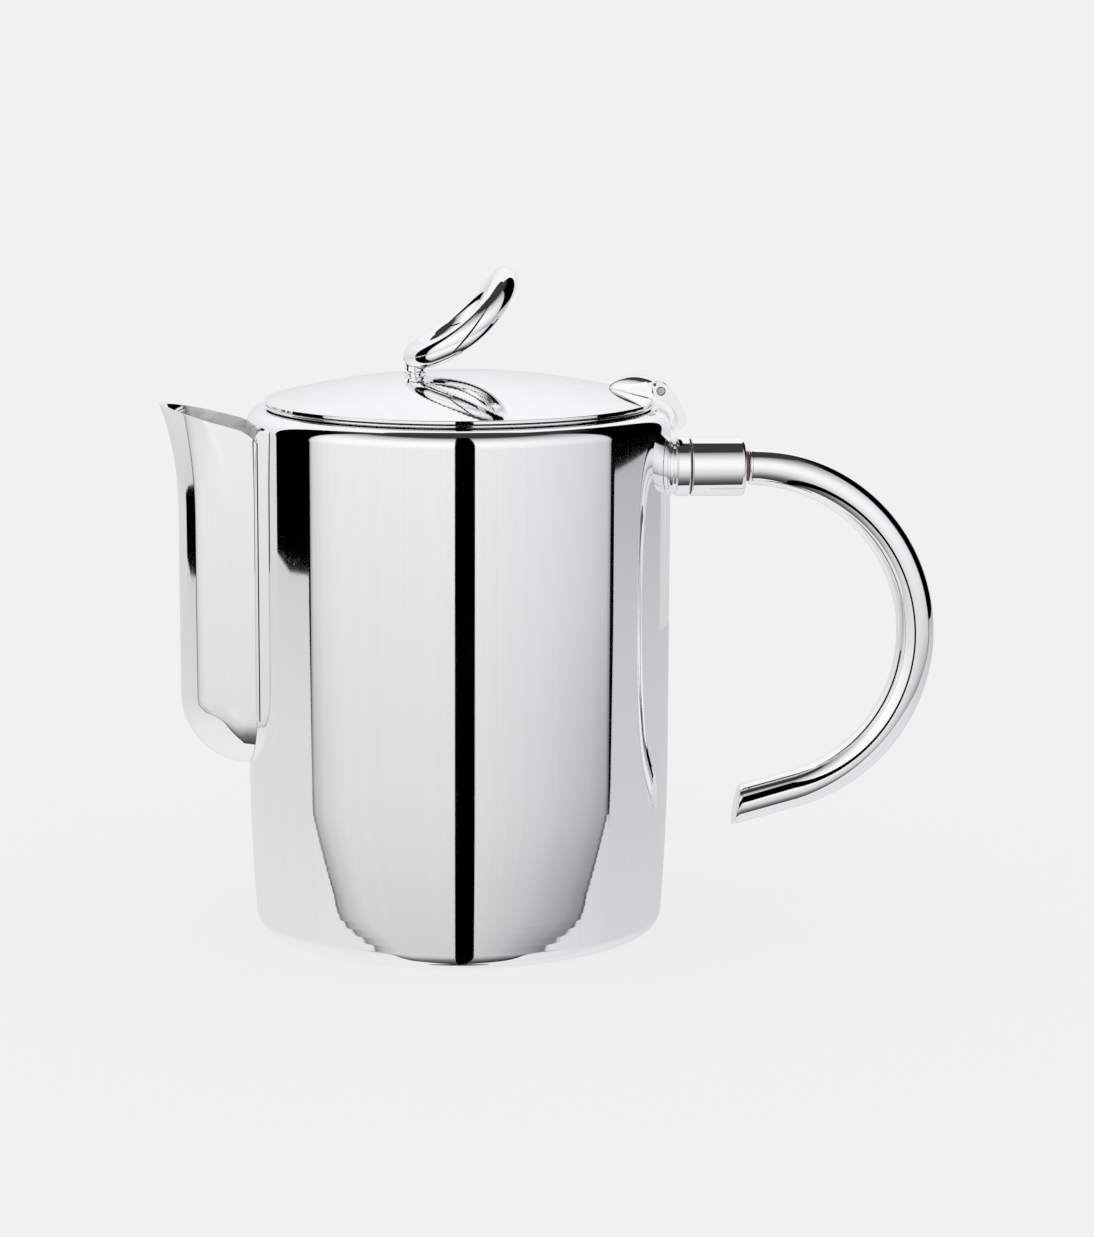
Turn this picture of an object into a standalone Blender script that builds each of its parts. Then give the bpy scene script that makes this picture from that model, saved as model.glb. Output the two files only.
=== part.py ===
"""Silver coffee pot with a hinged lid, a ring finial, a trough spout and an insulated C handle.

The pot stands on z = 0 with its axis on Z. The spout points to -X and the handle to +X, so the pot
is symmetric about the XZ plane. The lid turns about the hinge pin, which lies along Y.
"""

import math

import bmesh
import bpy
from mathutils import Matrix, Vector

MM = 0.001
GAP = 0.3 * MM

BODY_RADIUS = 55.0 * MM
WALL = 1.2 * MM
TAPER_HEIGHT = 46.0 * MM
TAPER_DEPTH = 1.8 * MM
BASE_CORNER = 4.0 * MM
SHOULDER_BASE = 132.5 * MM
SHOULDER_RISE = 4.2 * MM
SHOULDER_RUN = 4.0 * MM
LAND_HEIGHT = SHOULDER_BASE + SHOULDER_RISE
MOUTH_RADIUS = 47.6 * MM

SPOUT_FRONT = 72.8 * MM
SPOUT_HALF_WIDTH = 15.2 * MM
SPOUT_SIDE_TAPER = 0.148
SPOUT_FLARE_BASE = 108.0 * MM
SPOUT_FLARE = 4.7 * MM
SPOUT_FLARE_POWER = 2.4
SPOUT_LIP_HEIGHT = 137.9 * MM
SPOUT_RIM_SLOPE = math.tan(math.radians(14.7))
SPOUT_RIM_CORNER_RUN = 4.4 * MM
SPOUT_RIM_CORNER_DROP = 2.3 * MM
SPOUT_NOSE_DEPTH = 14.0 * MM
SPOUT_NOSE_POWER = 2.0
SPOUT_LIP_DEPTH = 11.0 * MM
SPOUT_LIP_POWER = 1.5
SPOUT_HEEL_RADIUS = 18.5 * MM
SPOUT_HEEL_HEIGHT = 61.7 * MM
SPOUT_SEAM_FLARE = 2.2 * MM
SPOUT_SEAM_START = 0.8
SPOUT_WALL = 1.0 * MM

STRAINER_HOLE_RADIUS = 1.8 * MM
STRAINER_PITCH = 5.5 * MM
STRAINER_COLUMNS = 3
STRAINER_ROWS = 9
STRAINER_BASE = 72.0 * MM

LID_RADIUS = 50.4 * MM
RIM_BAND_INNER = 47.0 * MM
RIM_BAND_BOTTOM = LAND_HEIGHT + GAP
RIM_BAND_HEIGHT = 0.7 * MM
DOME_TOP = 145.4 * MM
DOME_EDGE = 50.2 * MM
DOME_RISE = 6.7 * MM
DOME_SPHERE = (DOME_EDGE ** 2 + DOME_RISE ** 2) / (2 * DOME_RISE)
DOME_WALL = 0.8 * MM
DOME_ROLL = 0.3 * MM
BEZEL_OUTER = 46.4 * MM
BEZEL_INNER = 45.2 * MM
BEZEL_BOTTOM = 132.8 * MM

PIN_X = 52.1 * MM
PIN_Z = 140.8 * MM
PIN_RADIUS = 1.0 * MM
KNUCKLE_RADIUS = 1.9 * MM
EAR_RADIUS = 2.0 * MM
HINGE_HALF_WIDTH = 4.6 * MM
KNUCKLE_HALF_WIDTH = 2.0 * MM
LEAF_TIP_X = 38.9 * MM
LEAF_END_X = 49.75 * MM
LEAF_RISE = 5.1 * MM
LEAF_SIDE_START = 0.2
LEAF_SIDE_RISE = 4.3 * MM

FINIAL_RADIUS = 15.0 * MM
FINIAL_WIRE = 3.3 * MM
FINIAL_SAG = 2.75 * MM
FINIAL_TILT = math.radians(40.5)
FINIAL_PLACE = (0.5 * MM, 0, 159.6 * MM)
STEM_X = -11.4 * MM
STEM_RADIUS = 3.1 * MM
SHANK_RADIUS = 1.6 * MM

HANDLE_Z = 120.6 * MM
FERRULE_RADIUS = 7.7 * MM
FERRULE_START = 60.7 * MM
FERRULE_END = 74.3 * MM
SOCKET_END = 59.6 * MM
STUD_RADIUS = 2.0 * MM
TUBE_RADIUS = 4.9 * MM
TUBE_BORE = 3.9 * MM
TUBE_START = 75.5 * MM
UPPER_BEND = 44.9 * MM
LOWER_BEND = 42.9 * MM
TAIL_ANGLE = math.radians(74.7)
TAIL_LENGTH = 15.9 * MM
END_FACE_LEAN = math.radians(10.5)

TURNED_STEPS = 56
FITTING_STEPS = 24
TUBE_SIDES = 14


# ---- materials -------------------------------------------------------------------------------


def material(name, colour, roughness, metallic):
    made = bpy.data.materials.new(name)
    made.use_nodes = True
    shader = made.node_tree.nodes["Principled BSDF"]
    shader.inputs["Base Color"].default_value = (*colour, 1)
    shader.inputs["Roughness"].default_value = roughness
    shader.inputs["Metallic"].default_value = metallic
    return made


def silver():
    return material("silver", (0.93, 0.92, 0.90), 0.05, 1.0)


def nylon():
    return material("nylon", (0.42, 0.30, 0.26), 0.45, 0.0)


def steel():
    return material("steel", (0.60, 0.60, 0.61), 0.25, 1.0)


# ---- mesh helpers ----------------------------------------------------------------------------


def clear_scene():
    for obj in list(bpy.data.objects):
        bpy.data.objects.remove(obj, do_unlink=True)


def add_object(name, mesh_data, finish, parent=None, location=(0, 0, 0), turn=(0, 0, 0)):
    """Turns a bmesh into a smooth-shaded object, placed in its parent's space."""
    bmesh.ops.remove_doubles(mesh_data, verts=mesh_data.verts, dist=1e-7)
    bmesh.ops.recalc_face_normals(mesh_data, faces=mesh_data.faces)
    mesh = bpy.data.meshes.new(name)
    mesh_data.to_mesh(mesh)
    mesh_data.free()
    mesh.shade_smooth()
    mesh.set_sharp_from_angle(angle=math.radians(35))
    obj = bpy.data.objects.new(name, mesh)
    obj.location = location
    obj.rotation_euler = turn
    obj.parent = parent
    if finish:
        mesh.materials.append(finish)
    bpy.context.scene.collection.objects.link(obj)
    return obj


def cut(obj, cutter, operation="DIFFERENCE"):
    """Adds a Boolean with a helper object, which stays out of the model."""
    cutter.hide_render = True
    cutter.display_type = "WIRE"
    boolean = obj.modifiers.new(operation.title(), "BOOLEAN")
    boolean.operation = operation
    boolean.object = cutter


def arc(centre, radii, start, end, steps):
    """Points on an elliptical arc in a plane, angles in degrees."""
    points = []
    for i in range(steps + 1):
        angle = math.radians(start + (end - start) * i / steps)
        x = centre[0] + radii[0] * math.cos(angle)
        y = centre[1] + radii[1] * math.sin(angle)
        points.append((x, y))
    return points


def turned(profile, steps, closed):
    """A solid of revolution about Z from (radius, height) points."""
    made = bmesh.new()
    verts = [made.verts.new((radius, 0, height)) for radius, height in profile]
    for first, second in zip(verts, verts[1:]):
        made.edges.new((first, second))
    if closed:
        made.edges.new((verts[-1], verts[0]))
    bmesh.ops.spin(
        made,
        geom=made.verts[:] + made.edges[:],
        cent=(0, 0, 0),
        axis=(0, 0, 1),
        angle=2 * math.pi,
        steps=steps,
        use_merge=True,
    )
    bmesh.ops.remove_doubles(made, verts=made.verts, dist=1e-7)
    return made


def skinned(rings, closed_path=False):
    """Quads between equal rings of points, with both ends filled unless the path closes."""
    made = bmesh.new()
    rows = [[made.verts.new(point) for point in ring] for ring in rings]
    pairs = list(zip(rows, rows[1:]))
    if closed_path:
        pairs.append((rows[-1], rows[0]))
    for lower, upper in pairs:
        for i in range(len(lower)):
            j = (i + 1) % len(lower)
            made.faces.new((lower[i], lower[j], upper[j], upper[i]))
    if not closed_path:
        made.faces.new(rows[0])
        made.faces.new(rows[-1])
    return made


def prism(outline, half_width):
    """An outline of (x, z) points, extruded both ways along Y."""
    near = [(x, -half_width, z) for x, z in outline]
    far = [(x, half_width, z) for x, z in outline]
    return skinned([near, far])


def along_x(name, profile, finish, closed, parent=None):
    """A turned piece on the handle's axis, from (radius, distance along X) points."""
    piece = turned(profile, FITTING_STEPS, closed)
    return add_object(name, piece, finish, parent, (0, 0, HANDLE_Z), (0, math.pi / 2, 0))


# ---- body ------------------------------------------------------------------------------------


def body_radius(height):
    """The outer radius: a straight wall that draws in gently over the lowest part."""
    rise = max(0.0, 1 - height / TAPER_HEIGHT)
    return BODY_RADIUS - TAPER_DEPTH * rise * rise


def body_profile(inset):
    """One surface of the body from the base centre up to the mouth, set in by a wall thickness."""
    corner = BASE_CORNER - inset
    corner_x = body_radius(BASE_CORNER) - BASE_CORNER
    points = [(0, inset)]
    points += arc((corner_x, BASE_CORNER), (corner, corner), -90, 0, 5)
    for height in (10 * MM, 18 * MM, 30 * MM, TAPER_HEIGHT):
        points.append((body_radius(height) - inset, height))
    run = SHOULDER_RUN - inset
    rise = SHOULDER_RISE - inset
    centre = (BODY_RADIUS - SHOULDER_RUN, SHOULDER_BASE)
    points += arc(centre, (run, rise), 0, 90, 6)
    points.append((MOUTH_RADIUS, LAND_HEIGHT - inset))
    return points


def strainer_cutter():
    """The straining holes behind the spout, as one group of pegs along X."""
    made = bmesh.new()
    for row in range(STRAINER_ROWS):
        for column in range(STRAINER_COLUMNS):
            y = (column - (STRAINER_COLUMNS - 1) / 2) * STRAINER_PITCH
            z = STRAINER_BASE + row * STRAINER_PITCH
            place = Matrix.Translation((-BODY_RADIUS, y, z)) @ Matrix.Rotation(math.pi / 2, 4, "Y")
            bmesh.ops.create_cone(
                made,
                cap_ends=True,
                segments=8,
                radius1=STRAINER_HOLE_RADIUS,
                radius2=STRAINER_HOLE_RADIUS,
                depth=8 * MM,
                matrix=place,
            )
    return add_object("strainer_cutter", made, None)


def body_shell(finish):
    """The raised pot: one sheet from the base up over the shoulder to the mouth."""
    profile = body_profile(0) + body_profile(WALL)[::-1]
    obj = add_object("body_shell", turned(profile, TURNED_STEPS, False), finish)
    cut(obj, strainer_cutter())
    return obj


def mouth_ring(finish):
    """The wire soldered under the mouth, which stiffens it and guides the lid's bezel."""
    top = LAND_HEIGHT - WALL - GAP
    profile = [
        (MOUTH_RADIUS - 0.4 * MM, top),
        (MOUTH_RADIUS - 0.4 * MM, top - 2.4 * MM),
        (MOUTH_RADIUS + 1.2 * MM, top - 2.4 * MM),
        (MOUTH_RADIUS + 1.8 * MM, top - 1.8 * MM),
        (MOUTH_RADIUS + 1.8 * MM, top),
    ]
    return add_object("mouth_ring", turned(profile, TURNED_STEPS, True), finish)


# ---- spout -----------------------------------------------------------------------------------


def wall_x(y):
    """Where the spout meets the body, a gap outside the wall."""
    radius = BODY_RADIUS + GAP
    return -math.sqrt(radius * radius - y * y)


def flare(height):
    """0 below the flare and 1 at the lip, growing faster towards the lip."""
    reach = (height - SPOUT_FLARE_BASE) / (SPOUT_LIP_HEIGHT - SPOUT_FLARE_BASE)
    return max(0.0, reach) ** SPOUT_FLARE_POWER


def side_half_width(x):
    """Half the width between the spout's flat sides, which converge towards the lip."""
    return SPOUT_HALF_WIDTH + SPOUT_SIDE_TAPER * (x + BODY_RADIUS)


def nose_point(turn, spine, inward, depth, exponent, inset):
    """A point on the rounded front: turn runs from -1 to 1 across it."""
    angle = turn * math.pi / 2
    across = math.copysign(abs(math.sin(angle)) ** (2 / exponent), turn)
    back = depth * (1 - abs(math.cos(angle)) ** (2 / exponent))
    edge_x = spine[0] + inward[0] * depth
    half_width = side_half_width(edge_x) - inset
    x = spine[0] + inward[0] * back
    z = spine[1] + inward[1] * back
    return (x, half_width * across, z)


def front_station(height, inset):
    """Spine point, inward direction, nose depth and exponent at a height above the heel."""
    grown = flare(height)
    spine = (-SPOUT_FRONT - SPOUT_FLARE * grown + inset, height)
    depth = SPOUT_NOSE_DEPTH + (SPOUT_LIP_DEPTH - SPOUT_NOSE_DEPTH) * grown
    power = SPOUT_NOSE_POWER + (SPOUT_LIP_POWER - SPOUT_NOSE_POWER) * grown
    return spine, (1, 0), depth, power


def heel_station(angle, inset):
    """The same on the quarter-round heel: angle is 0 at the front and 90 degrees at the wall."""
    radius = SPOUT_HEEL_RADIUS - inset
    centre_x = SPOUT_HEEL_RADIUS - SPOUT_FRONT
    outward = (-math.cos(angle), -math.sin(angle))
    spine = (centre_x + radius * outward[0], SPOUT_HEEL_HEIGHT + radius * outward[1])
    return spine, (-outward[0], -outward[1]), SPOUT_NOSE_DEPTH, SPOUT_NOSE_POWER


def section_point(column, station, inset):
    """A point of one cross-section: column runs from -2 to 2, and beyond +-1 lies a flat side."""
    turn = max(-1.0, min(1.0, column))
    x, y, z = nose_point(turn, *station, inset)
    along = abs(column) - 1
    if along <= 0:
        return (x, y, z)
    side = math.copysign(1, column)
    flared = SPOUT_SEAM_FLARE * (max(0.0, along - SPOUT_SEAM_START) / (1 - SPOUT_SEAM_START)) ** 3
    seam_y = SPOUT_HALF_WIDTH - inset + SPOUT_SEAM_FLARE
    x += (wall_x(seam_y) - x) * along
    y = side * (side_half_width(x) - inset + flared)
    return (x, y, z)


def rim_height(x, y):
    """The sloping mouth, with its corner rounded down into the body."""
    height = SPOUT_LIP_HEIGHT - SPOUT_RIM_SLOPE * (x + SPOUT_FRONT + SPOUT_FLARE)
    short = (SPOUT_RIM_CORNER_RUN - (wall_x(y) - x)) / SPOUT_RIM_CORNER_RUN
    short = max(0.0, min(short, 1.0))
    return height - SPOUT_RIM_CORNER_DROP * (1 - math.sqrt(1 - short * short))


def column_top(column, inset):
    """The height at which a column of the spout's surface reaches the rim."""
    low = SPOUT_HEEL_HEIGHT
    high = SPOUT_LIP_HEIGHT + 2 * MM
    for _ in range(40):
        middle = (low + high) / 2
        x, y, _z = section_point(column, front_station(middle, inset), inset)
        if middle < rim_height(x, y):
            low = middle
        else:
            high = middle
    return low


def spout_columns(nose_steps):
    nose = [-1 + 2 * i / nose_steps for i in range(nose_steps + 1)]
    side = [1.4, 1 + SPOUT_SEAM_START, 1.91, 2.0]
    return [-c for c in side[::-1]] + nose + side


def spout_surface(inset, columns):
    """Rows of points from the heel's end at the wall up to the rim."""
    rows = []
    foot = []
    for column in columns:
        x, y, z = section_point(column, heel_station(math.pi / 2, inset), inset)
        foot.append((wall_x(y), y, z))
    rows.append(foot)
    for degrees in (78, 66, 54, 42, 30, 18, 8):
        station = heel_station(math.radians(degrees), inset)
        rows.append([section_point(column, station, inset) for column in columns])
    for height in (SPOUT_HEEL_HEIGHT, 80 * MM, 96 * MM, SPOUT_FLARE_BASE):
        station = front_station(height, inset)
        rows.append([section_point(column, station, inset) for column in columns])
    tops = [column_top(column, inset) for column in columns]
    for share in (0.25, 0.5, 0.75, 0.9, 1.0):
        row = []
        for column, top in zip(columns, tops):
            height = SPOUT_FLARE_BASE + (top - SPOUT_FLARE_BASE) * share
            row.append(section_point(column, front_station(height, inset), inset))
        rows.append(row)
    return rows


def spout_shell(finish):
    """The trough: an outer and an inner surface, joined along the rim and the seam."""
    columns = spout_columns(12)
    outer = spout_surface(0, columns)
    inner = spout_surface(SPOUT_WALL, columns)
    rings = [o + i[::-1] for o, i in zip(outer, inner)]
    return add_object("spout_shell", skinned_sheet(rings, len(columns)), finish)


def skinned_sheet(rings, width):
    """Closes a sheet of two surfaces: each ring is an outer row followed by its inner row, reversed."""
    made = bmesh.new()
    rows = [[made.verts.new(point) for point in ring] for ring in rings]
    for lower, upper in zip(rows, rows[1:]):
        for i in range(len(lower)):
            j = (i + 1) % len(lower)
            made.faces.new((lower[i], lower[j], upper[j], upper[i]))
    for row in (rows[0], rows[-1]):
        for i in range(width - 1):
            made.faces.new((row[i], row[i + 1], row[-2 - i], row[-1 - i]))
    return made


# ---- lid -------------------------------------------------------------------------------------


def dome_height(radius, drop=0.0):
    """The height of the lid's dome, or of a surface that far inside it."""
    sphere = DOME_SPHERE - drop
    return DOME_TOP - DOME_SPHERE + math.sqrt(sphere * sphere - radius * radius)


def lid_cover(finish, parent):
    """The domed sheet, with the hole for the finial's shank."""
    outer_edge = DOME_EDGE - DOME_ROLL
    foot = RIM_BAND_BOTTOM + RIM_BAND_HEIGHT + GAP
    inner_edge = math.sqrt((DOME_SPHERE - DOME_WALL) ** 2 - (foot - DOME_TOP + DOME_SPHERE) ** 2)
    profile = [(outer_edge * i / 7, dome_height(outer_edge * i / 7)) for i in range(8)]
    profile += [(DOME_EDGE, dome_height(outer_edge) - DOME_ROLL), (DOME_EDGE, foot)]
    profile += [(inner_edge * i / 7, dome_height(inner_edge * i / 7, DOME_WALL)) for i in range(7, -1, -1)]
    obj = add_object("lid_cover", turned(profile, TURNED_STEPS, False), finish)
    hole = bmesh.new()
    bmesh.ops.create_cone(
        hole,
        cap_ends=True,
        segments=16,
        radius1=SHANK_RADIUS + GAP,
        radius2=SHANK_RADIUS + GAP,
        depth=10 * MM,
        matrix=Matrix.Translation((STEM_X, 0, DOME_TOP)),
    )
    cut(obj, add_object("shank_hole_cutter", hole, None))
    hang(obj, parent)
    return obj


def lid_rim_band(finish, parent):
    """The flat ring under the lid's edge, with a rounded rim that shows below the dome."""
    half = RIM_BAND_HEIGHT / 2
    middle = RIM_BAND_BOTTOM + half
    bulge = half
    profile = [(RIM_BAND_INNER, middle - half)]
    profile += arc((LID_RADIUS - bulge, middle), (bulge, half), -90, 90, 4)
    profile.append((RIM_BAND_INNER, middle + half))
    obj = add_object("lid_rim_band", turned(profile, TURNED_STEPS, True), finish)
    hang(obj, parent)
    return obj


def lid_bezel(finish, parent):
    """The flange under the lid that keeps it centred in the mouth."""
    profile = [
        (BEZEL_OUTER, BEZEL_BOTTOM),
        (BEZEL_OUTER, dome_height(BEZEL_OUTER, DOME_WALL) - GAP),
        (BEZEL_INNER, dome_height(BEZEL_INNER, DOME_WALL) - GAP),
        (BEZEL_INNER, BEZEL_BOTTOM),
    ]
    obj = add_object("lid_bezel", turned(profile, TURNED_STEPS, True), finish)
    hang(obj, parent)
    return obj


def hang(obj, parent):
    """Parents an object without moving it."""
    obj.parent = parent
    obj.matrix_parent_inverse = parent.matrix_world.inverted()


# ---- finial ----------------------------------------------------------------------------------


def finial_centre(around):
    """The wire's centre line: a circle whose two sides sag below the plane of its ends."""
    across = math.sin(around)
    sag = FINIAL_SAG * across * across
    return Vector((FINIAL_RADIUS * math.cos(around), FINIAL_RADIUS * across, -sag))


def finial_wire(extra, steps, sides):
    """The ring's wire, thickened by extra, about the ring's own centre."""
    radius = FINIAL_WIRE + extra
    rings = []
    for i in range(steps):
        around = 2 * math.pi * i / steps
        step = 2 * math.pi / steps
        along = (finial_centre(around + step) - finial_centre(around - step)).normalized()
        outward = Vector((math.cos(around), math.sin(around), 0))
        outward = (outward - along * outward.dot(along)).normalized()
        upward = outward.cross(along)
        ring = []
        for j in range(sides):
            turn = 2 * math.pi * j / sides
            ring.append(finial_centre(around) + radius * (outward * math.cos(turn) + upward * math.sin(turn)))
        rings.append(ring)
    return skinned(rings, closed_path=True)


def finial_ring(finish, parent):
    turn = (0, -FINIAL_TILT, 0)
    obj = add_object("finial_ring", finial_wire(0, 36, 14), finish, None, FINIAL_PLACE, turn)
    hang(obj, parent)
    return obj


def finial_stem(finish, parent):
    """The post under the ring, with the threaded shank that goes through the lid."""
    seat = dome_height(abs(STEM_X) - STEM_RADIUS) + GAP
    profile = [
        (0, 139.9 * MM),
        (SHANK_RADIUS - 0.3 * MM, 139.9 * MM),
        (SHANK_RADIUS, 140.2 * MM),
        (SHANK_RADIUS, seat),
        (STEM_RADIUS, seat),
        (STEM_RADIUS, seat + 4 * MM),
        (0, seat + 4 * MM),
    ]
    obj = add_object("finial_stem", turned(profile, FITTING_STEPS, False), finish, None, (STEM_X, 0, 0))
    turn = (0, -FINIAL_TILT, 0)
    cutter = add_object("finial_stem_cutter", finial_wire(GAP, 36, 14), None, None, FINIAL_PLACE, turn)
    cut(obj, cutter)
    hang(obj, parent)
    return obj


def washer_and_nut(finish, parent):
    """What holds the finial from inside the lid."""
    bore = SHANK_RADIUS + GAP
    washer_top = 143.35 * MM
    washer = [(bore, washer_top - 0.6 * MM), (3.8 * MM, washer_top - 0.6 * MM)]
    washer += [(3.8 * MM, washer_top), (bore, washer_top)]
    nut_top = washer_top - 0.6 * MM - GAP
    nut = [(bore, nut_top - 1.8 * MM), (3.4 * MM, nut_top - 1.8 * MM), (3.4 * MM, nut_top), (bore, nut_top)]
    place = (STEM_X, 0, 0)
    hang(add_object("finial_washer", turned(washer, FITTING_STEPS, True), finish, None, place), parent)
    hang(add_object("finial_nut", turned(nut, 6, True), finish, None, place), parent)


# ---- hinge -----------------------------------------------------------------------------------


def peg(name, radius, half_length, segments=20):
    """A cylinder on the hinge axis."""
    made = bmesh.new()
    bmesh.ops.create_cone(
        made,
        cap_ends=True,
        segments=segments,
        radius1=radius,
        radius2=radius,
        depth=2 * half_length,
        matrix=Matrix.Rotation(math.pi / 2, 4, "X"),
    )
    return add_object(name, made, None, None, (PIN_X, 0, PIN_Z))


def leaf_share(x):
    """How far along the leaf a place is: 0 at the tip and 1 at the hinge."""
    return (x - LEAF_TIP_X) / (LEAF_END_X - LEAF_TIP_X)


def leaf_outline_half_width(x):
    """Half the leaf's width, which widens from the tip to the hinge's own width."""
    return HINGE_HALF_WIDTH * leaf_share(x) ** 0.55


def leaf_crest(x):
    """The height of the leaf's middle line above the dome, rising from its tip."""
    return LEAF_RISE * (1 - (1 - leaf_share(x)) ** 2) ** 0.75


def leaf_side(x):
    """The height of the leaf's upright sides, which grow from nothing behind the tip."""
    grown = (leaf_share(x) - LEAF_SIDE_START) / (1 - LEAF_SIDE_START)
    return max(0.05 * leaf_crest(x), LEAF_SIDE_RISE * grown)


def leaf_floor(x, y):
    """The leaf's underside: a gap above the dome and above the rim band."""
    return max(dome_height(math.hypot(x, y)), RIM_BAND_BOTTOM + RIM_BAND_HEIGHT) + GAP


def leaf_ring(x):
    """One cross-section of the leaf: sides that grow taller towards the hinge, under a crowned top."""
    half_width = leaf_outline_half_width(x)
    side = leaf_side(x)
    crown = leaf_crest(x) - side
    ring = []
    for share in (1.0, 0.5, 0.0, -0.5, -1.0):
        y = half_width * share
        ring.append((x, y, leaf_floor(x, y)))
    for share in (-1.0, -0.75, -0.4, 0.0, 0.4, 0.75, 1.0):
        y = half_width * share
        ring.append((x, y, leaf_floor(x, y) + side + crown * (1 - share ** 4)))
    return ring


def hinge_leaf(finish, parent):
    """The lid's half of the hinge: a leaf on the dome and a knuckle between the ears."""
    shares = (0.015, 0.06, 0.15, 0.28, 0.45, 0.7, 1.0)
    rings = [leaf_ring(LEAF_TIP_X + (LEAF_END_X - LEAF_TIP_X) * share) for share in shares]
    obj = add_object("hinge_leaf", skinned(rings), finish)
    knuckle = peg("hinge_leaf_knuckle", KNUCKLE_RADIUS, KNUCKLE_HALF_WIDTH)
    neck_low = PIN_Z - 1.6 * MM
    neck = prism(
        [
            (LEAF_END_X - 1 * MM, neck_low + 0.5 * MM),
            (PIN_X - 0.6 * MM, neck_low),
            (PIN_X - 0.2 * MM, PIN_Z + KNUCKLE_RADIUS - 0.1 * MM),
            (LEAF_END_X - 1 * MM, PIN_Z + KNUCKLE_RADIUS - 0.1 * MM),
        ],
        KNUCKLE_HALF_WIDTH - 0.05 * MM,
    )
    cut(obj, add_object("hinge_leaf_neck", neck, None), "UNION")
    cut(obj, knuckle, "UNION")
    cut(obj, peg("hinge_leaf_bore", PIN_RADIUS + GAP, 2 * HINGE_HALF_WIDTH))
    hang(obj, parent)
    return obj


def bracket_outline():
    """The claw in side view: the ears' round end, the outer sweep, the foot and the inner sweep."""
    eye = arc((PIN_X, PIN_Z), (EAR_RADIUS, EAR_RADIUS), 245, 55, 8)
    outer = [(54.6, 141.5), (56.2, 139.4), (57.5, 136.6), (58.6, 133.9), (58.5, 132.3), (57.6, 131.1), (56.4, 130.4)]
    inner = [(55.35, 130.3), (55.35, 131.4), (56.3, 132.2), (56.4, 134.0), (55.5, 135.9), (53.9, 137.4)]
    return eye + [(x * MM, z * MM) for x, z in outer + inner]


def hinge_bracket(finish):
    """The body's half of the hinge: two ears that reach over the shoulder from the wall."""
    obj = add_object("hinge_bracket", prism(bracket_outline(), HINGE_HALF_WIDTH), finish)
    slot_reach = KNUCKLE_RADIUS + 2 * GAP
    slot = arc((PIN_X, PIN_Z), (slot_reach, slot_reach), -90, 60, 8)
    slot += [(PIN_X - 5 * MM, PIN_Z + 5 * MM), (PIN_X - 5 * MM, PIN_Z - 5 * MM)]
    slot += [(PIN_X - 0.5 * MM, PIN_Z - 5 * MM)]
    slot_width = KNUCKLE_HALF_WIDTH + GAP
    cut(obj, add_object("hinge_bracket_slot", prism(slot, slot_width), None))
    cut(obj, peg("hinge_bracket_bore", PIN_RADIUS + GAP, 2 * HINGE_HALF_WIDTH))
    fit = bmesh.new()
    bmesh.ops.create_cone(
        fit,
        cap_ends=True,
        segments=4 * TURNED_STEPS,
        radius1=BODY_RADIUS + GAP,
        radius2=BODY_RADIUS + GAP,
        depth=8 * MM,
        matrix=Matrix.Translation((0, 0, 131.0 * MM)),
    )
    cut(obj, add_object("hinge_bracket_fit", fit, None))
    return obj


def hinge_pin(finish):
    """The pin, as wide as the hinge, with its ends a little domed."""
    end = HINGE_HALF_WIDTH
    profile = [(0, -end), (PIN_RADIUS * 0.7, -end + 0.05 * MM), (PIN_RADIUS, -end + 0.25 * MM)]
    profile += [(PIN_RADIUS, end - 0.25 * MM), (PIN_RADIUS * 0.7, end - 0.05 * MM), (0, end)]
    place = (PIN_X, 0, PIN_Z)
    return add_object("hinge_pin", turned(profile, 16, False), finish, None, place, (math.pi / 2, 0, 0))


# ---- handle ----------------------------------------------------------------------------------


def handle_socket(finish):
    """The boss soldered to the wall: a root bead, a groove, a ring and a tapped hole."""
    tapped = STUD_RADIUS + GAP
    profile = [
        (0, 52 * MM),
        (7.6 * MM, 52 * MM),
        (7.6 * MM, 55.2 * MM),
        (7.3 * MM, 55.5 * MM),
        (7.0 * MM, 55.6 * MM),
        (7.0 * MM, 56.1 * MM),
        (7.4 * MM, 56.25 * MM),
        (7.7 * MM, 56.6 * MM),
        (7.7 * MM, SOCKET_END - 0.3 * MM),
        (7.4 * MM, SOCKET_END),
        (tapped, SOCKET_END),
        (tapped, 56.2 * MM),
        (0, 56.2 * MM),
    ]
    obj = along_x("handle_socket", profile, finish, False)
    wall = bmesh.new()
    bmesh.ops.create_cone(
        wall,
        cap_ends=True,
        segments=4 * TURNED_STEPS,
        radius1=BODY_RADIUS + GAP,
        radius2=BODY_RADIUS + GAP,
        depth=40 * MM,
        matrix=Matrix.Translation((0, 0, HANDLE_Z)),
    )
    cut(obj, add_object("handle_socket_fit", wall, None))
    return obj


def insulators(finish):
    """Two washers that keep the pot's heat off the handle."""
    bore = STUD_RADIUS + GAP
    inner = [(bore, SOCKET_END + GAP), (7.2 * MM, SOCKET_END + GAP)]
    inner += [(7.2 * MM, FERRULE_START - GAP), (bore, FERRULE_START - GAP)]
    along_x("inner_insulator", inner, finish, True)
    outer = [(bore, FERRULE_END + GAP), (3.9 * MM, FERRULE_END + GAP)]
    outer += [(3.9 * MM, TUBE_START - GAP), (bore, TUBE_START - GAP)]
    along_x("outer_insulator", outer, finish, True)


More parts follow.
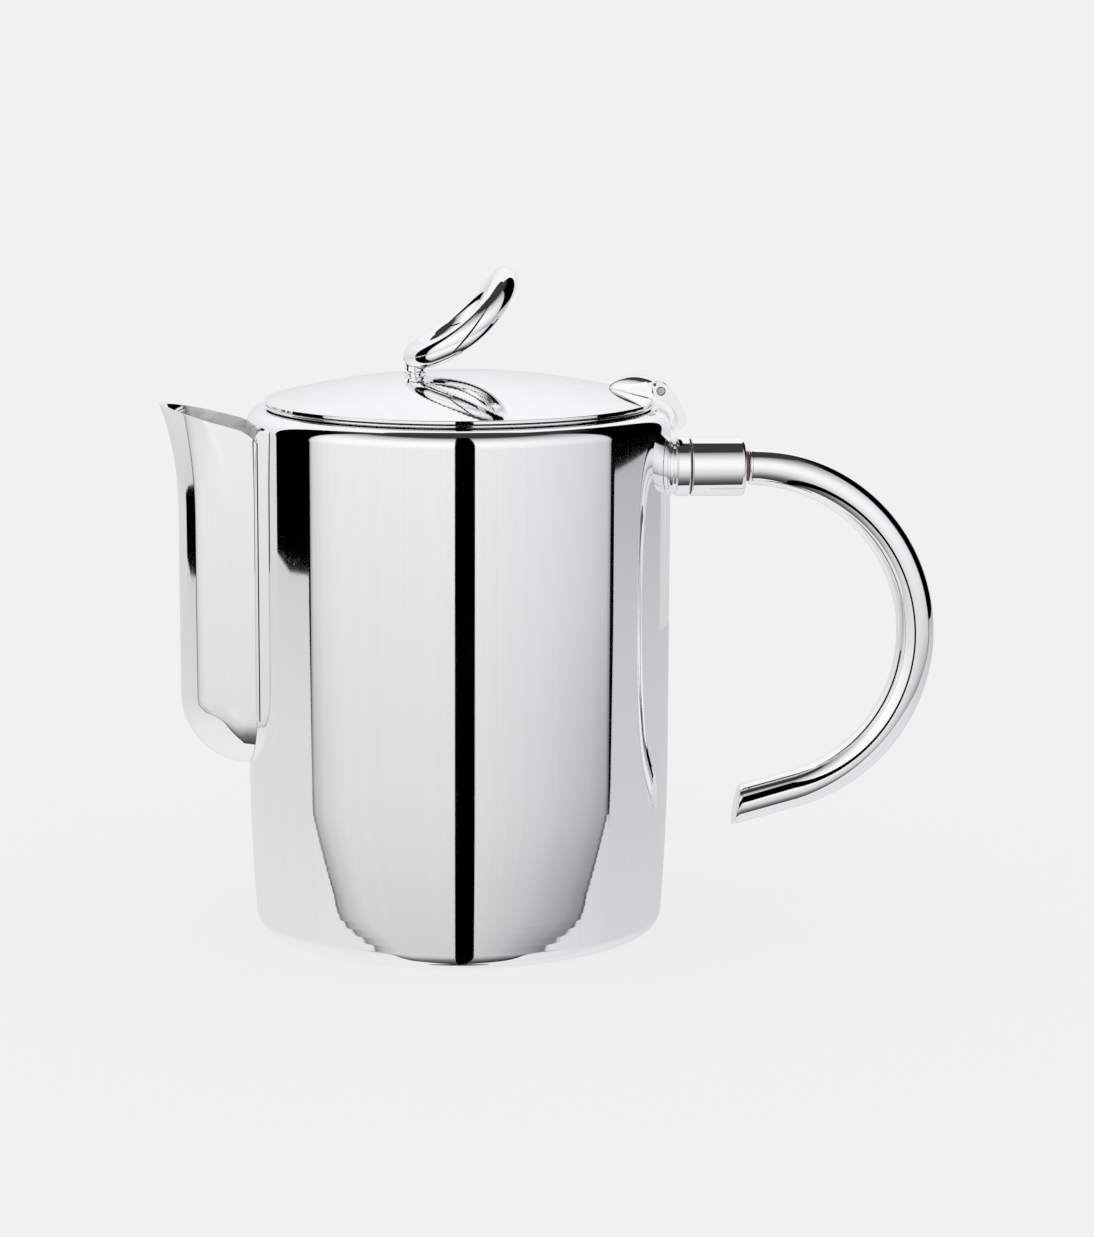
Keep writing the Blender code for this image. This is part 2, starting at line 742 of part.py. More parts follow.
def handle_ferrule(finish):
    """The heavy sleeve between the two insulators, chamfered at its outer end."""
    bore = STUD_RADIUS + GAP
    profile = [
        (bore, FERRULE_START),
        (FERRULE_RADIUS - 0.3 * MM, FERRULE_START),
        (FERRULE_RADIUS, FERRULE_START + 0.3 * MM),
        (FERRULE_RADIUS, FERRULE_END - 1.1 * MM),
        (FERRULE_RADIUS - 0.5 * MM, FERRULE_END - 0.4 * MM),
        (FERRULE_RADIUS - 1.3 * MM, FERRULE_END),
        (bore, FERRULE_END),
    ]
    return along_x("handle_ferrule", profile, finish, True)


def handle_stud(finish):
    """The threaded stud that draws the ferrule, the insulators and the tube up to the socket."""
    profile = [
        (0, 56.5 * MM),
        (STUD_RADIUS - 0.4 * MM, 56.5 * MM),
        (STUD_RADIUS, 56.9 * MM),
        (STUD_RADIUS, 83.6 * MM),
        (STUD_RADIUS - 0.4 * MM, 84.0 * MM),
        (0, 84.0 * MM),
    ]
    return along_x("handle_stud", profile, finish, False)


def tube_plug(finish):
    """The tapped plug soldered inside the tube's upper end."""
    bore = STUD_RADIUS + GAP
    outer = TUBE_BORE - 2 * GAP
    profile = [(bore, TUBE_START), (outer, TUBE_START), (outer, 81 * MM), (bore, 81 * MM)]
    return along_x("tube_plug", profile, finish, True)


def handle_path():
    """Centre points and directions in the XZ plane, from the ferrule round to the tail."""
    centre = (TUBE_START, HANDLE_Z - UPPER_BEND)
    path = []
    for i in range(15):
        angle = math.pi / 2 * (1 - i / 14)
        place = (centre[0] + UPPER_BEND * math.cos(angle), centre[1] + UPPER_BEND * math.sin(angle))
        path.append((place, (math.sin(angle), -math.cos(angle))))
    centre = (centre[0] + UPPER_BEND - LOWER_BEND, centre[1])
    for i in range(1, 13):
        angle = -TAIL_ANGLE * i / 12
        place = (centre[0] + LOWER_BEND * math.cos(angle), centre[1] + LOWER_BEND * math.sin(angle))
        path.append((place, (math.sin(angle), -math.cos(angle))))
    return path


def tail_end(path):
    """The centre of the tail's end face, and the tail's direction."""
    (x, z), (dx, dz) = path[-1]
    return (x + TAIL_LENGTH * dx, z + TAIL_LENGTH * dz), (dx, dz)


def ring_about(place, direction, radius):
    """A circle of points square to a direction in the XZ plane."""
    across = (-direction[1], direction[0])
    ring = []
    for i in range(TUBE_SIDES):
        angle = 2 * math.pi * i / TUBE_SIDES
        reach = radius * math.cos(angle)
        ring.append((place[0] + across[0] * reach, radius * math.sin(angle), place[1] + across[1] * reach))
    return ring


def mitred_ring(path, radius, setback):
    """The tube's section slid along the tail until it lies on the leaning end face."""
    (x, z), direction = tail_end(path)
    normal = (-math.cos(END_FACE_LEAN), math.sin(END_FACE_LEAN))
    rate = normal[0] * direction[0] + normal[1] * direction[1]
    ring = []
    for px, py, pz in ring_about((x, z), direction, radius):
        slide = -((px - x) * normal[0] + (pz - z) * normal[1]) / rate - setback
        ring.append((px + direction[0] * slide, py, pz + direction[1] * slide))
    return ring


def handle_tube(finish):
    """The C-shaped tube, open at both ends."""
    path = handle_path()
    cap = 1.0 * MM
    outer = [ring_about(place, direction, TUBE_RADIUS) for place, direction in path]
    inner = [ring_about(place, direction, TUBE_BORE) for place, direction in path]
    outer.append(mitred_ring(path, TUBE_RADIUS, cap + GAP))
    inner.append(mitred_ring(path, TUBE_BORE, cap + GAP))
    return add_object("handle_tube", skinned(outer + inner[::-1], closed_path=True), finish)


def handle_end_cap(finish):
    """The flat cap on the tail, with a spigot inside the tube."""
    path = handle_path()
    spigot = TUBE_BORE - GAP
    rings = [
        mitred_ring(path, TUBE_RADIUS, 0),
        mitred_ring(path, TUBE_RADIUS, 1.0 * MM),
        mitred_ring(path, spigot, 1.0 * MM),
        mitred_ring(path, spigot, 4.0 * MM),
    ]
    return add_object("handle_end_cap", skinned(rings), finish)


# ---- assembly --------------------------------------------------------------------------------


def lid_pivot():
    """The empty on the hinge axis that carries the lid."""
    pivot = bpy.data.objects.new("lid_pivot", None)
    pivot.location = (PIN_X, 0, PIN_Z)
    bpy.context.scene.collection.objects.link(pivot)
    bpy.context.view_layer.update()
    return pivot


def build():
    clear_scene()
    plate = silver()
    washer = nylon()
    hidden = steel()
    body_shell(plate)
    mouth_ring(plate)
    spout_shell(plate)
    hinge_bracket(plate)
    hinge_pin(hidden)
    handle_socket(plate)
    insulators(washer)
    handle_ferrule(plate)
    handle_stud(hidden)
    tube_plug(hidden)
    handle_tube(plate)
    handle_end_cap(plate)
    pivot = lid_pivot()
    lid_cover(plate, pivot)
    lid_rim_band(plate, pivot)
    lid_bezel(plate, pivot)
    hinge_leaf(plate, pivot)
    finial_ring(plate, pivot)
    finial_stem(plate, pivot)
    washer_and_nut(hidden, pivot)


build()
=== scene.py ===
"""The looks of the silver coffee pot: mirror-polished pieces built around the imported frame.

The frame's own axes hold: the pot stands on z = 0, the spout points to -X, the handle to +X, and the
lid turns about the hinge pin along Y. Every visible piece is rebuilt at a finer resolution in the same
place as its CAD node; the pieces hidden inside keep their CAD mesh and get a finish.
"""

import math

import bmesh
import bpy
from mathutils import Matrix, Vector


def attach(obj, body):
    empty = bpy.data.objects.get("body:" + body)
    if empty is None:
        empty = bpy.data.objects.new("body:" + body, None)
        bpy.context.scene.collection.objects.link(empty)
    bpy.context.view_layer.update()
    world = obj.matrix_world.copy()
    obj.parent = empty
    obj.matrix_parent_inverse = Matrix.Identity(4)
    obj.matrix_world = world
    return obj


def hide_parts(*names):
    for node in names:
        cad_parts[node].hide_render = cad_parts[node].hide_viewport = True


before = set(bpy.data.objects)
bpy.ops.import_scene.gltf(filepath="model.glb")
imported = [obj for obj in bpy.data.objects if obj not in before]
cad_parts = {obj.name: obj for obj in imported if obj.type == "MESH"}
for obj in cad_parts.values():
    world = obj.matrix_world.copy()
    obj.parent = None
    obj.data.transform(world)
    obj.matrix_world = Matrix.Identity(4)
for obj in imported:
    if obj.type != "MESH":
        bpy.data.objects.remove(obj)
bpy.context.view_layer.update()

MM = 0.001
GAP = 0.3 * MM
CONTACT = GAP * 0.1
FINE_GAP = GAP * 0.5
MERGE_DISTANCE = 1e-7

BODY_RADIUS = 55.0 * MM
WALL = 1.2 * MM
TAPER_HEIGHT = 46.0 * MM
TAPER_DEPTH = 1.8 * MM
BASE_CORNER = 4.0 * MM
WALL_MIDDLE = 90.0 * MM
SHOULDER_BASE = 132.5 * MM
SHOULDER_RISE = 4.2 * MM
SHOULDER_RUN = 4.0 * MM
LAND_HEIGHT = SHOULDER_BASE + SHOULDER_RISE
MOUTH_RADIUS = 47.6 * MM
MOUTH_EASE = 0.3 * MM

SPOUT_FRONT = 72.8 * MM
SPOUT_HALF_WIDTH = 15.2 * MM
SPOUT_SIDE_TAPER = 0.148
SPOUT_FLARE_BASE = 108.0 * MM
SPOUT_FLARE = 4.7 * MM
SPOUT_FLARE_POWER = 2.4
SPOUT_LIP_HEIGHT = 137.9 * MM
SPOUT_RIM_SLOPE = math.tan(math.radians(14.7))
SPOUT_RIM_CORNER_RUN = 4.4 * MM
SPOUT_RIM_CORNER_DROP = 2.3 * MM
SPOUT_NOSE_DEPTH = 14.0 * MM
SPOUT_NOSE_POWER = 2.0
SPOUT_LIP_DEPTH = 11.0 * MM
SPOUT_LIP_POWER = 1.5
SPOUT_HEEL_RADIUS = 18.5 * MM
SPOUT_HEEL_HEIGHT = 61.7 * MM
SPOUT_SEAM_FLARE = 2.2 * MM
SPOUT_SEAM_START = 0.8
SPOUT_RIM_ROUNDING = 0.22 * MM
SPOUT_POLISH = (1.2 * MM, 3.6 * MM)
SPOUT_WALL = 1.0 * MM

STRAINER_HOLE_RADIUS = 1.8 * MM
STRAINER_PITCH = 5.5 * MM
STRAINER_COLUMNS = 3
STRAINER_ROWS = 9
STRAINER_BASE = 72.0 * MM

LID_RADIUS = 50.4 * MM
RIM_BAND_INNER = 47.0 * MM
RIM_BAND_BOTTOM = LAND_HEIGHT + GAP
RIM_BAND_HEIGHT = 0.7 * MM
DOME_TOP = 145.4 * MM
DOME_EDGE = 50.2 * MM
DOME_RISE = 6.7 * MM
DOME_SPHERE = (DOME_EDGE ** 2 + DOME_RISE ** 2) / (2 * DOME_RISE)
DOME_WALL = 0.8 * MM
DOME_ROLL = 0.3 * MM

PIN_X = 52.1 * MM
PIN_Z = 140.8 * MM
PIN_RADIUS = 1.0 * MM
KNUCKLE_RADIUS = 1.9 * MM
EAR_RADIUS = 2.0 * MM
HINGE_HALF_WIDTH = 4.6 * MM
KNUCKLE_HALF_WIDTH = 2.0 * MM
LEAF_TIP_X = 38.9 * MM
LEAF_END_X = 49.75 * MM
LEAF_OUTLINE_POWER = 0.55
LEAF_RISE = 5.1 * MM
LEAF_CREST_POWER = 0.75
LEAF_SIDE_START = 0.2
LEAF_SIDE_RISE = 4.3 * MM
LEAF_SIDE_SHARE = 0.05
NECK_DROP = 1.6 * MM
BRACKET_OUTER_MM = (
    (54.6, 141.5), (56.2, 139.4), (57.5, 136.6), (58.6, 133.9), (58.5, 132.3), (57.6, 131.1), (56.4, 130.4),
)
BRACKET_INNER_MM = (
    (55.35, 130.3), (55.35, 131.4), (56.3, 132.2), (56.4, 134.0), (55.5, 135.9), (53.9, 137.4),
)
BRACKET_FOOT = 131.0 * MM

FINIAL_RADIUS = 15.0 * MM
FINIAL_WIRE = 3.3 * MM
FINIAL_SAG = 2.75 * MM
FINIAL_TILT = math.radians(40.5)
FINIAL_PLACE = (0.5 * MM, 0, 159.6 * MM)
STEM_X = -11.4 * MM
STEM_RADIUS = 3.1 * MM
SHANK_RADIUS = 1.6 * MM
SHANK_END = 139.9 * MM
SHANK_EASE = 0.3 * MM

HANDLE_Z = 120.6 * MM
FERRULE_RADIUS = 7.7 * MM
FERRULE_START = 60.35 * MM
FERRULE_END = 74.4 * MM
SOCKET_END = 59.9 * MM
SOCKET_ROOT_RADIUS = 7.6 * MM
SOCKET_GROOVE_RADIUS = 7.0 * MM
SOCKET_ROOT = 52.0 * MM
SOCKET_HOLE_END = 56.2 * MM
INNER_INSULATOR_RADIUS = 7.2 * MM
OUTER_INSULATOR_RADIUS = 3.9 * MM
WASHER_GAP = 0.05 * MM
STUD_RADIUS = 2.0 * MM
TUBE_RADIUS = 4.9 * MM
TUBE_BORE = 3.9 * MM
TUBE_START = 75.5 * MM
UPPER_BEND = 44.9 * MM
LOWER_BEND = 42.9 * MM
TAIL_ANGLE = math.radians(74.7)
TAIL_LENGTH = 15.9 * MM
END_FACE_LEAN = math.radians(10.5)
CAP_THICKNESS = 1.0 * MM
CAP_JOINT = 0.03 * MM
CAP_SPIGOT_END = 4.0 * MM

EVEN = (1, 1, 1)
UPRIGHT_GRAIN = (1.0, 1.0, 0.035)
FREE_GRAIN = (1.0, 1.0, 0.6)
SILVER_COLOUR = (0.955, 0.954, 0.955)
SMUDGE_SCALE = 26.0
SHEET_SCALE = 24.0
SHEET_STRETCH = (1, 1, 0.35)
HAIRLINE_WIDTH = 0.010
HAIRLINE_PATCHES = 38.0

LATHE_STEPS = 256
FITTING_STEPS = 96
TUBE_SIDES = 64

CAMERA_TARGET = Vector((0, 0, 70 * MM))
CAMERA_DISTANCE = 950 * MM
CAMERA_AZIMUTH = -2.5
CAMERA_ELEVATION = 10.6
CAMERA_LENS = 105.32
CAMERA_SHIFT = (0.0714, 0.0328)
BACKDROP_LIGHT = 0.876
FLOOR_SHARE = 0.88
FLOOR_GREY = 0.12
FLOOR_SIZE = 40.0
NEUTRAL = (1.0, 1.0, 1.0)
COOL = (0.955, 0.96, 1.0)
FAINT_COOL = (0.975, 0.978, 1.0)
FOLDS = 90.0
CARD_STEPS = 48
CARD_RISE_STEPS = 432
CORNER_FALL_TOP = -8
CORNER_FALL_LOW = -38

# Each card's distance from the pot in metres.
SURROUND_REACH = 1.00
SIDE_REACH = 0.97
UNDER_REACH = 0.96
FRONT_REACH = 0.92
SHADE_REACH = 0.91
SLIT_REACH = 0.90

# Stops of (elevation in degrees, light) that a card's brightness follows from its lower to its upper edge.
SURROUND_RISE = ((-89.9, 0.0), (50, 0.0), (62, 0.04), (89.9, 0.045))
LEFT_RISE = ((-89.9, 0.88), (-35, 0.84), (-27, 0.79), (-17, 0.75), (-12, 0.73), (-7.2, 0.66))
LEFT_SLANT_RISE = ((-7.2, 0.66), (-6.6, 0.66))
RIGHT_RISE = ((-89.9, 0.88), (-35, 0.80), (-27, 0.73), (-17, 0.67), (-12, 0.64), (-8.7, 0.60), (-4.2, 0.50))
RIGHT_SLANT_RISE = ((-4.2, 0.50), (-3.3, 0.47))
UNDER_RISE = ((-89.9, 0.88), (-35, 0.84), (-15.5, 0.75))
SHADE_RISE = ((-89.9, 0.05), (-82, 0.05))
BACK_RISE = ((-9.3, 0.72), (10, 0.84), (30, 0.97), (70, 1.0))
# The front tent darkens steeply towards its lower edge: painted shade of the ground near the pot's foot, as
# its reflections show it.
FRONT_RISE = (
    (-84, 0.05), (-65, 0.08), (-50, 0.18), (-38, 0.40), (-27, 0.63), (-17, 0.73), (-12, 0.765),
    (-8.7, 0.80), (-5, 0.845), (4, 0.96), (14, 1.02), (30, 1.0), (46, 0.72), (56, 0.45), (62, 0.18),
)
SLIT_RISE = ((-89, 0.0), (66, 0.0))

# Stops of (share of the way across, light) from a card's left side to its right side.
EVEN_ACROSS = ((0, 1.0), (1, 1.0))
UNDER_ACROSS = ((0, 1.0), (0.7, 1.0), (1, 0.91))
FRONT_ACROSS = (
    (0, 0.50), (0.012, 0.80), (0.05, 0.93), (0.12, 1.0), (0.55, 1.0), (0.75, 0.94), (0.92, 0.82),
    (0.985, 0.72), (1.0, 0.40),
)
FRONT_CORNER_FALL = 4.0


# ---- materials ----


def new_material(name):
    """A material that remembers which of the record's slots it stands for."""
    made = bpy.data.materials.new("fine_" + name)
    made["slot"] = name
    made.use_nodes = True
    return made, made.node_tree, made.node_tree.nodes["Principled BSDF"]


def add_node(tree, kind, **values):
    """A node with its plain properties and its input values set by name."""
    node = tree.nodes.new(kind)
    for key, value in values.items():
        if key in node.inputs:
            node.inputs[key].default_value = value
        else:
            setattr(node, key, value)
    return node


def scaled_position(tree, scale):
    """Object coordinates stretched by a scale for each axis."""
    place = add_node(tree, "ShaderNodeTexCoord")
    mapping = add_node(tree, "ShaderNodeMapping", Scale=scale)
    tree.links.new(place.outputs["Object"], mapping.inputs["Vector"])
    return mapping.outputs["Vector"]


def noise(tree, position, scale, detail, roughness=0.5):
    """A noise value at a position."""
    node = add_node(tree, "ShaderNodeTexNoise", Scale=scale, Detail=detail, Roughness=roughness)
    tree.links.new(position, node.inputs["Vector"])
    return node.outputs["Fac"]


def remap(tree, value, low, high, out_low, out_high):
    """Carries a value from one range to another, held inside it."""
    ends = {"From Min": low, "From Max": high, "To Min": out_low, "To Max": out_high}
    node = add_node(tree, "ShaderNodeMapRange", **ends)
    tree.links.new(value, node.inputs["Value"])
    return node.outputs["Result"]


def combine(tree, operation, first, second=0):
    """A sum, product or other operation on two values, each a socket or a number."""
    node = add_node(tree, "ShaderNodeMath", operation=operation)
    for slot, value in enumerate((first, second)):
        if isinstance(value, (int, float)):
            node.inputs[slot].default_value = value
        else:
            tree.links.new(value, node.inputs[slot])
    return node.outputs[0]


def two_tone(tree, shader, value, low, dark, high, pale):
    """The base colour runs from dark to pale between two places on a value."""
    ramp = add_node(tree, "ShaderNodeValToRGB")
    for element, position, colour in zip(ramp.color_ramp.elements, (low, high), (dark, pale)):
        element.position = position
        element.color = (*colour, 1)
    tree.links.new(value, ramp.inputs["Fac"])
    tree.links.new(ramp.outputs["Color"], shader.inputs["Base Color"])


def relief(tree, shader, height, strength, distance):
    """Bumps the surface by a height."""
    bump = add_node(tree, "ShaderNodeBump", Strength=strength, Distance=distance)
    tree.links.new(height, bump.inputs["Height"])
    tree.links.new(bump.outputs["Normal"], shader.inputs["Normal"])


def hairlines(tree, stretch, scale):
    """Sparse fine scratches: thin ridges of a stretched noise, as a 0 to 1 mask."""
    lines = noise(tree, scaled_position(tree, stretch), scale, 2.0, 0.6)
    distance = combine(tree, "ABSOLUTE", combine(tree, "SUBTRACT", lines, 0.5))
    thin = remap(tree, distance, 0.0, HAIRLINE_WIDTH, 1.0, 0.0)
    patches = noise(tree, scaled_position(tree, EVEN), HAIRLINE_PATCHES, 1.0)
    return combine(tree, "MULTIPLY", thin, remap(tree, patches, 0.52, 0.70, 0.0, 1.0))


def silver(name, roughness, grain, grain_scale, wave, bump):
    """Mirror-polished plate: faint directional polishing marks, a soft waviness and sparse hairlines.

    grain is the stretch of the polishing marks along each axis, wave the height of the slow
    unevenness of the sheet, and bump the height of the marks, both in metres.
    """
    made, tree, shader = new_material(name)
    shader.inputs["Base Color"].default_value = (*SILVER_COLOUR, 1)
    shader.inputs["Metallic"].default_value = 1.0
    marks = noise(tree, scaled_position(tree, grain), grain_scale, 4.0, 0.6)
    smudges = noise(tree, scaled_position(tree, EVEN), SMUDGE_SCALE, 3.0, 0.55)
    scratches = hairlines(tree, (grain[0] * 0.5, grain[1] * 0.5, 1.0 + grain[2]), grain_scale * 0.7)
    rough = remap(tree, marks, 0.3, 0.7, roughness * 0.55, roughness * 1.2)
    rough = combine(tree, "ADD", rough, remap(tree, smudges, 0.45, 0.75, 0.0, roughness * 0.5))
    rough = combine(tree, "ADD", rough, combine(tree, "MULTIPLY", scratches, 0.05))
    tree.links.new(rough, shader.inputs["Roughness"])
    slow = noise(tree, scaled_position(tree, SHEET_STRETCH), SHEET_SCALE, 1.0)
    height = combine(tree, "MULTIPLY", slow, wave)
    height = combine(tree, "ADD", height, combine(tree, "MULTIPLY", marks, bump))
    height = combine(tree, "SUBTRACT", height, combine(tree, "MULTIPLY", scratches, bump * 0.6))
    relief(tree, shader, height, 1.0, 1.0)
    return made


def satin_silver(name):
    """The inside of the spout: soft frosted plate with slow uneven bands, polished only near the lip."""
    made = bpy.data.materials.new(name)
    made.use_nodes = True
    tree = made.node_tree
    shader = tree.nodes["Principled BSDF"]
    bands = noise(tree, scaled_position(tree, (1.0, 1.0, 1.6)), 150.0, 3.0)
    two_tone(tree, shader, bands, 0.40, (0.72, 0.71, 0.69), 0.55, (0.99, 0.98, 0.96))
    split = add_node(tree, "ShaderNodeSeparateXYZ")
    tree.links.new(scaled_position(tree, EVEN), split.inputs["Vector"])
    lip = [place - SPOUT_FRONT for place in SPOUT_POLISH]
    tree.links.new(remap(tree, split.outputs["X"], *lip, 1.0, 0.0), shader.inputs["Metallic"])
    tree.links.new(remap(tree, split.outputs["X"], *lip, 0.04, 0.36), shader.inputs["Roughness"])
    return made


def nylon(name, colour):
    """The insulating washers: dull moulded nylon with a fine mottle and turning lines."""
    made, tree, shader = new_material(name)
    mottle = noise(tree, scaled_position(tree, EVEN), 900.0, 4.0)
    two_tone(tree, shader, mottle, 0.3, [c * 0.78 for c in colour], 0.7, colour)
    tree.links.new(remap(tree, mottle, 0.3, 0.7, 0.38, 0.55), shader.inputs["Roughness"])
    turning = noise(tree, scaled_position(tree, (6.0, 0.3, 0.3)), 700.0, 2.0)
    relief(tree, shader, turning, 0.3, 0.05 * MM)
    return made


def turned_steel(name, colour, roughness):
    """Plain steel with fine turning rings and a little tarnish."""
    made, tree, shader = new_material(name)
    shader.inputs["Metallic"].default_value = 1.0
    tarnish = noise(tree, scaled_position(tree, EVEN), 420.0, 3.0)
    two_tone(tree, shader, tarnish, 0.35, [c * 0.8 for c in colour], 0.65, colour)
    rough = remap(tree, tarnish, 0.3, 0.7, roughness * 0.8, roughness * 1.4)
    tree.links.new(rough, shader.inputs["Roughness"])
    relief(tree, shader, noise(tree, scaled_position(tree, EVEN), 2600.0, 2.0), 0.4, 0.02 * MM)
    return made


body_silver = silver("silver_body", 0.030, UPRIGHT_GRAIN, 420.0, wave=1.6e-6, bump=5e-8)
spout_silver = silver("silver_spout", 0.034, UPRIGHT_GRAIN, 420.0, wave=1.6e-6, bump=6e-8)
lid_silver = silver("silver_lid", 0.032, FREE_GRAIN, 300.0, wave=1.2e-6, bump=4e-8)
finial_silver = silver("silver_finial", 0.024, FREE_GRAIN, 500.0, wave=3e-7, bump=3e-8)
handle_silver = silver("silver_handle", 0.026, FREE_GRAIN, 500.0, wave=4e-7, bump=3e-8)
fitting_silver = silver("silver_fittings", 0.028, FREE_GRAIN, 600.0, wave=2e-7, bump=3e-8)
pin_steel = turned_steel("pin_steel", (0.70, 0.69, 0.66), 0.22)
spout_inside = satin_silver("fine_spout_inside")
hidden_steel = turned_steel("hidden_steel", (0.60, 0.60, 0.61), 0.28)
insulator = nylon("insulator", (0.20, 0.115, 0.09))


# ---- mesh helpers ----


def linked(name, mesh_data):
    """A new object in the scene that takes over a mesh."""
    mesh = bpy.data.meshes.new(name)
    mesh_data.to_mesh(mesh)
    mesh_data.free()
    obj = bpy.data.objects.new(name, mesh)
    bpy.context.scene.collection.objects.link(obj)
    return obj


def add_piece(node, mesh_data, finish, body, location=(0, 0, 0), turn=(0, 0, 0), sharp=35):
    """A finished mesh that stands for one CAD node: it rides on the node's body and takes its slot."""
    bmesh.ops.remove_doubles(mesh_data, verts=mesh_data.verts, dist=MERGE_DISTANCE)
    bmesh.ops.recalc_face_normals(mesh_data, faces=mesh_data.faces)
    obj = linked(node + "_visual", mesh_data)
    mesh = obj.data
    obj.location = location
    obj.rotation_euler = turn
    bpy.context.view_layer.update()
    mesh.transform(obj.matrix_world)
    obj.matrix_world = Matrix.Identity(4)
    mesh.materials.append(finish)
    shade(obj, sharp)
    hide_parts(node)
    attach(obj, body)
    return obj


def shade(obj, sharp):
    """Smooth shading, split at edges sharper than an angle in degrees."""
    obj.data.shade_smooth()
    obj.data.set_sharp_from_angle(angle=math.radians(sharp))


def helper(name, mesh_data, location=(0, 0, 0), turn=(0, 0, 0)):
    """A cutter for a Boolean, removed once it is applied."""
    bmesh.ops.recalc_face_normals(mesh_data, faces=mesh_data.faces)
    obj = linked(name, mesh_data)
    obj.location = location
    obj.rotation_euler = turn
    return obj


def apply_modifiers(obj, sharp=35):
    """Bakes the modifiers into the mesh, and shades it again when an edge angle is given."""
    bpy.context.view_layer.update()
    graph = bpy.context.evaluated_depsgraph_get()
    made = bpy.data.meshes.new_from_object(obj.evaluated_get(graph))
    obj.modifiers.clear()
    old = obj.data
    obj.data = made
    bpy.data.meshes.remove(old)
    if sharp is not None:
        shade(obj, sharp)


def boolean(obj, cutter, operation="DIFFERENCE", sharp=35):
    """Cuts or joins a helper, and removes it."""
    modifier = obj.modifiers.new("boolean", "BOOLEAN")
    modifier.operation = operation
    modifier.object = cutter
    apply_modifiers(obj, sharp)
    bpy.data.objects.remove(cutter, do_unlink=True)


def soften(obj, width, segments=2, angle=30, sharp=50):
    """Rounds the edges by a small bevel, and keeps the broad faces flat in shading."""
    modifier = obj.modifiers.new("bevel", "BEVEL")
    modifier.width = width
    modifier.segments = segments
    modifier.limit_method = "ANGLE"
    modifier.angle_limit = math.radians(angle)
    apply_modifiers(obj, sharp)
    even_out(obj)


def even_out(obj):
    """Lets the largest faces lead the shading, so that flat and turned faces reflect as they should."""
    obj.modifiers.new("weighted", "WEIGHTED_NORMAL").keep_sharp = True
    apply_modifiers(obj, None)


def arc(centre, radii, start, end, steps):
    """Points on an elliptical arc in a plane, angles in degrees."""
    points = []
    for i in range(steps + 1):
        angle = math.radians(start + (end - start) * i / steps)
        points.append((centre[0] + radii[0] * math.cos(angle), centre[1] + radii[1] * math.sin(angle)))
    return points


def braced(profile):
    """Adds a point near both ends of each long straight run, so that shading stays true along it."""
    margin = 0.12 * MM
    points = [profile[0]]
    for start, end in zip(profile, profile[1:]):
        run = Vector(end) - Vector(start)
        if run.length > 4 * margin:
            step = run.normalized() * margin
            points += [tuple(Vector(start) + step), tuple(Vector(end) - step)]
        points.append(end)
    return points


def turned(profile, steps, closed):
    """A solid of revolution about Z from (radius, height) points."""
    profile = braced(profile)
    made = bmesh.new()
    verts = [made.verts.new((radius, 0, height)) for radius, height in profile]
    for first, second in zip(verts, verts[1:]):
        made.edges.new((first, second))
    if closed:
        made.edges.new((verts[-1], verts[0]))
    geometry = made.verts[:] + made.edges[:]
    sweep = {"axis": (0, 0, 1), "angle": 2 * math.pi, "steps": steps, "use_merge": True}
    bmesh.ops.spin(made, geom=geometry, cent=(0, 0, 0), **sweep)
    bmesh.ops.remove_doubles(made, verts=made.verts, dist=MERGE_DISTANCE)
    return made


def woven(rings, closed_path):
    """Quads between equal rings of points, with the rows of vertices."""
    made = bmesh.new()
    rows = [[made.verts.new(point) for point in ring] for ring in rings]
    pairs = list(zip(rows, rows[1:]))
    if closed_path:
        pairs.append((rows[-1], rows[0]))
    for lower, upper in pairs:
        for i in range(len(lower)):
            j = (i + 1) % len(lower)
            made.faces.new((lower[i], lower[j], upper[j], upper[i]))
    return made, rows


def skinned(rings, closed_path=False):
    """A skin over equal rings of points, with both ends filled unless the path closes."""
    made, rows = woven(rings, closed_path)
    if not closed_path:
        made.faces.new(rows[0])
        made.faces.new(rows[-1])
    return made


def skinned_sheet(rings, width):
    """Closes a sheet of two surfaces: each ring is an outer row followed by its inner row, reversed."""
    made, rows = woven(rings, False)
    for row in (rows[0], rows[-1]):
        for i in range(width - 1):
            made.faces.new((row[i], row[i + 1], row[-2 - i], row[-1 - i]))
    return made


def prism(outline, half_width):
    """An outline of (x, z) points, extruded both ways along Y."""
    near = [(x, -half_width, z) for x, z in outline]
    far = [(x, half_width, z) for x, z in outline]
    return skinned([near, far])


def cylinder(radius, length, segments, matrix, made=None):
    """A closed cylinder, added to a mesh or in one of its own."""
    if made is None:
        made = bmesh.new()
    size = {"segments": segments, "radius1": radius, "radius2": radius, "depth": length}
    bmesh.ops.create_cone(made, cap_ends=True, matrix=matrix, **size)
    return made


# ---- body ----


def body_radius(height):
    """The outer radius: a straight wall that draws in gently over the lowest part."""
    rise = max(0.0, 1 - height / TAPER_HEIGHT)
    return BODY_RADIUS - TAPER_DEPTH * rise * rise


def body_profile(inset):
    """One surface of the body from the base centre up to the mouth, set in by a wall thickness."""
    corner = BASE_CORNER - inset
    corner_x = body_radius(BASE_CORNER) - BASE_CORNER
    points = [(0, inset), (corner_x * 0.5, inset)]
    points += arc((corner_x, BASE_CORNER), (corner, corner), -90, 0, 14)
    steps = 24
    for i in range(1, steps + 1):
        height = BASE_CORNER + (TAPER_HEIGHT - BASE_CORNER) * i / steps
        points.append((body_radius(height) - inset, height))
    points.append((BODY_RADIUS - inset, WALL_MIDDLE))
    run = SHOULDER_RUN - inset
    rise = SHOULDER_RISE - inset
    centre = (BODY_RADIUS - SHOULDER_RUN, SHOULDER_BASE)
    points += arc(centre, (run, rise), 0, 90, 20)
    points.append((MOUTH_RADIUS + MOUTH_EASE, LAND_HEIGHT - inset))
    return points


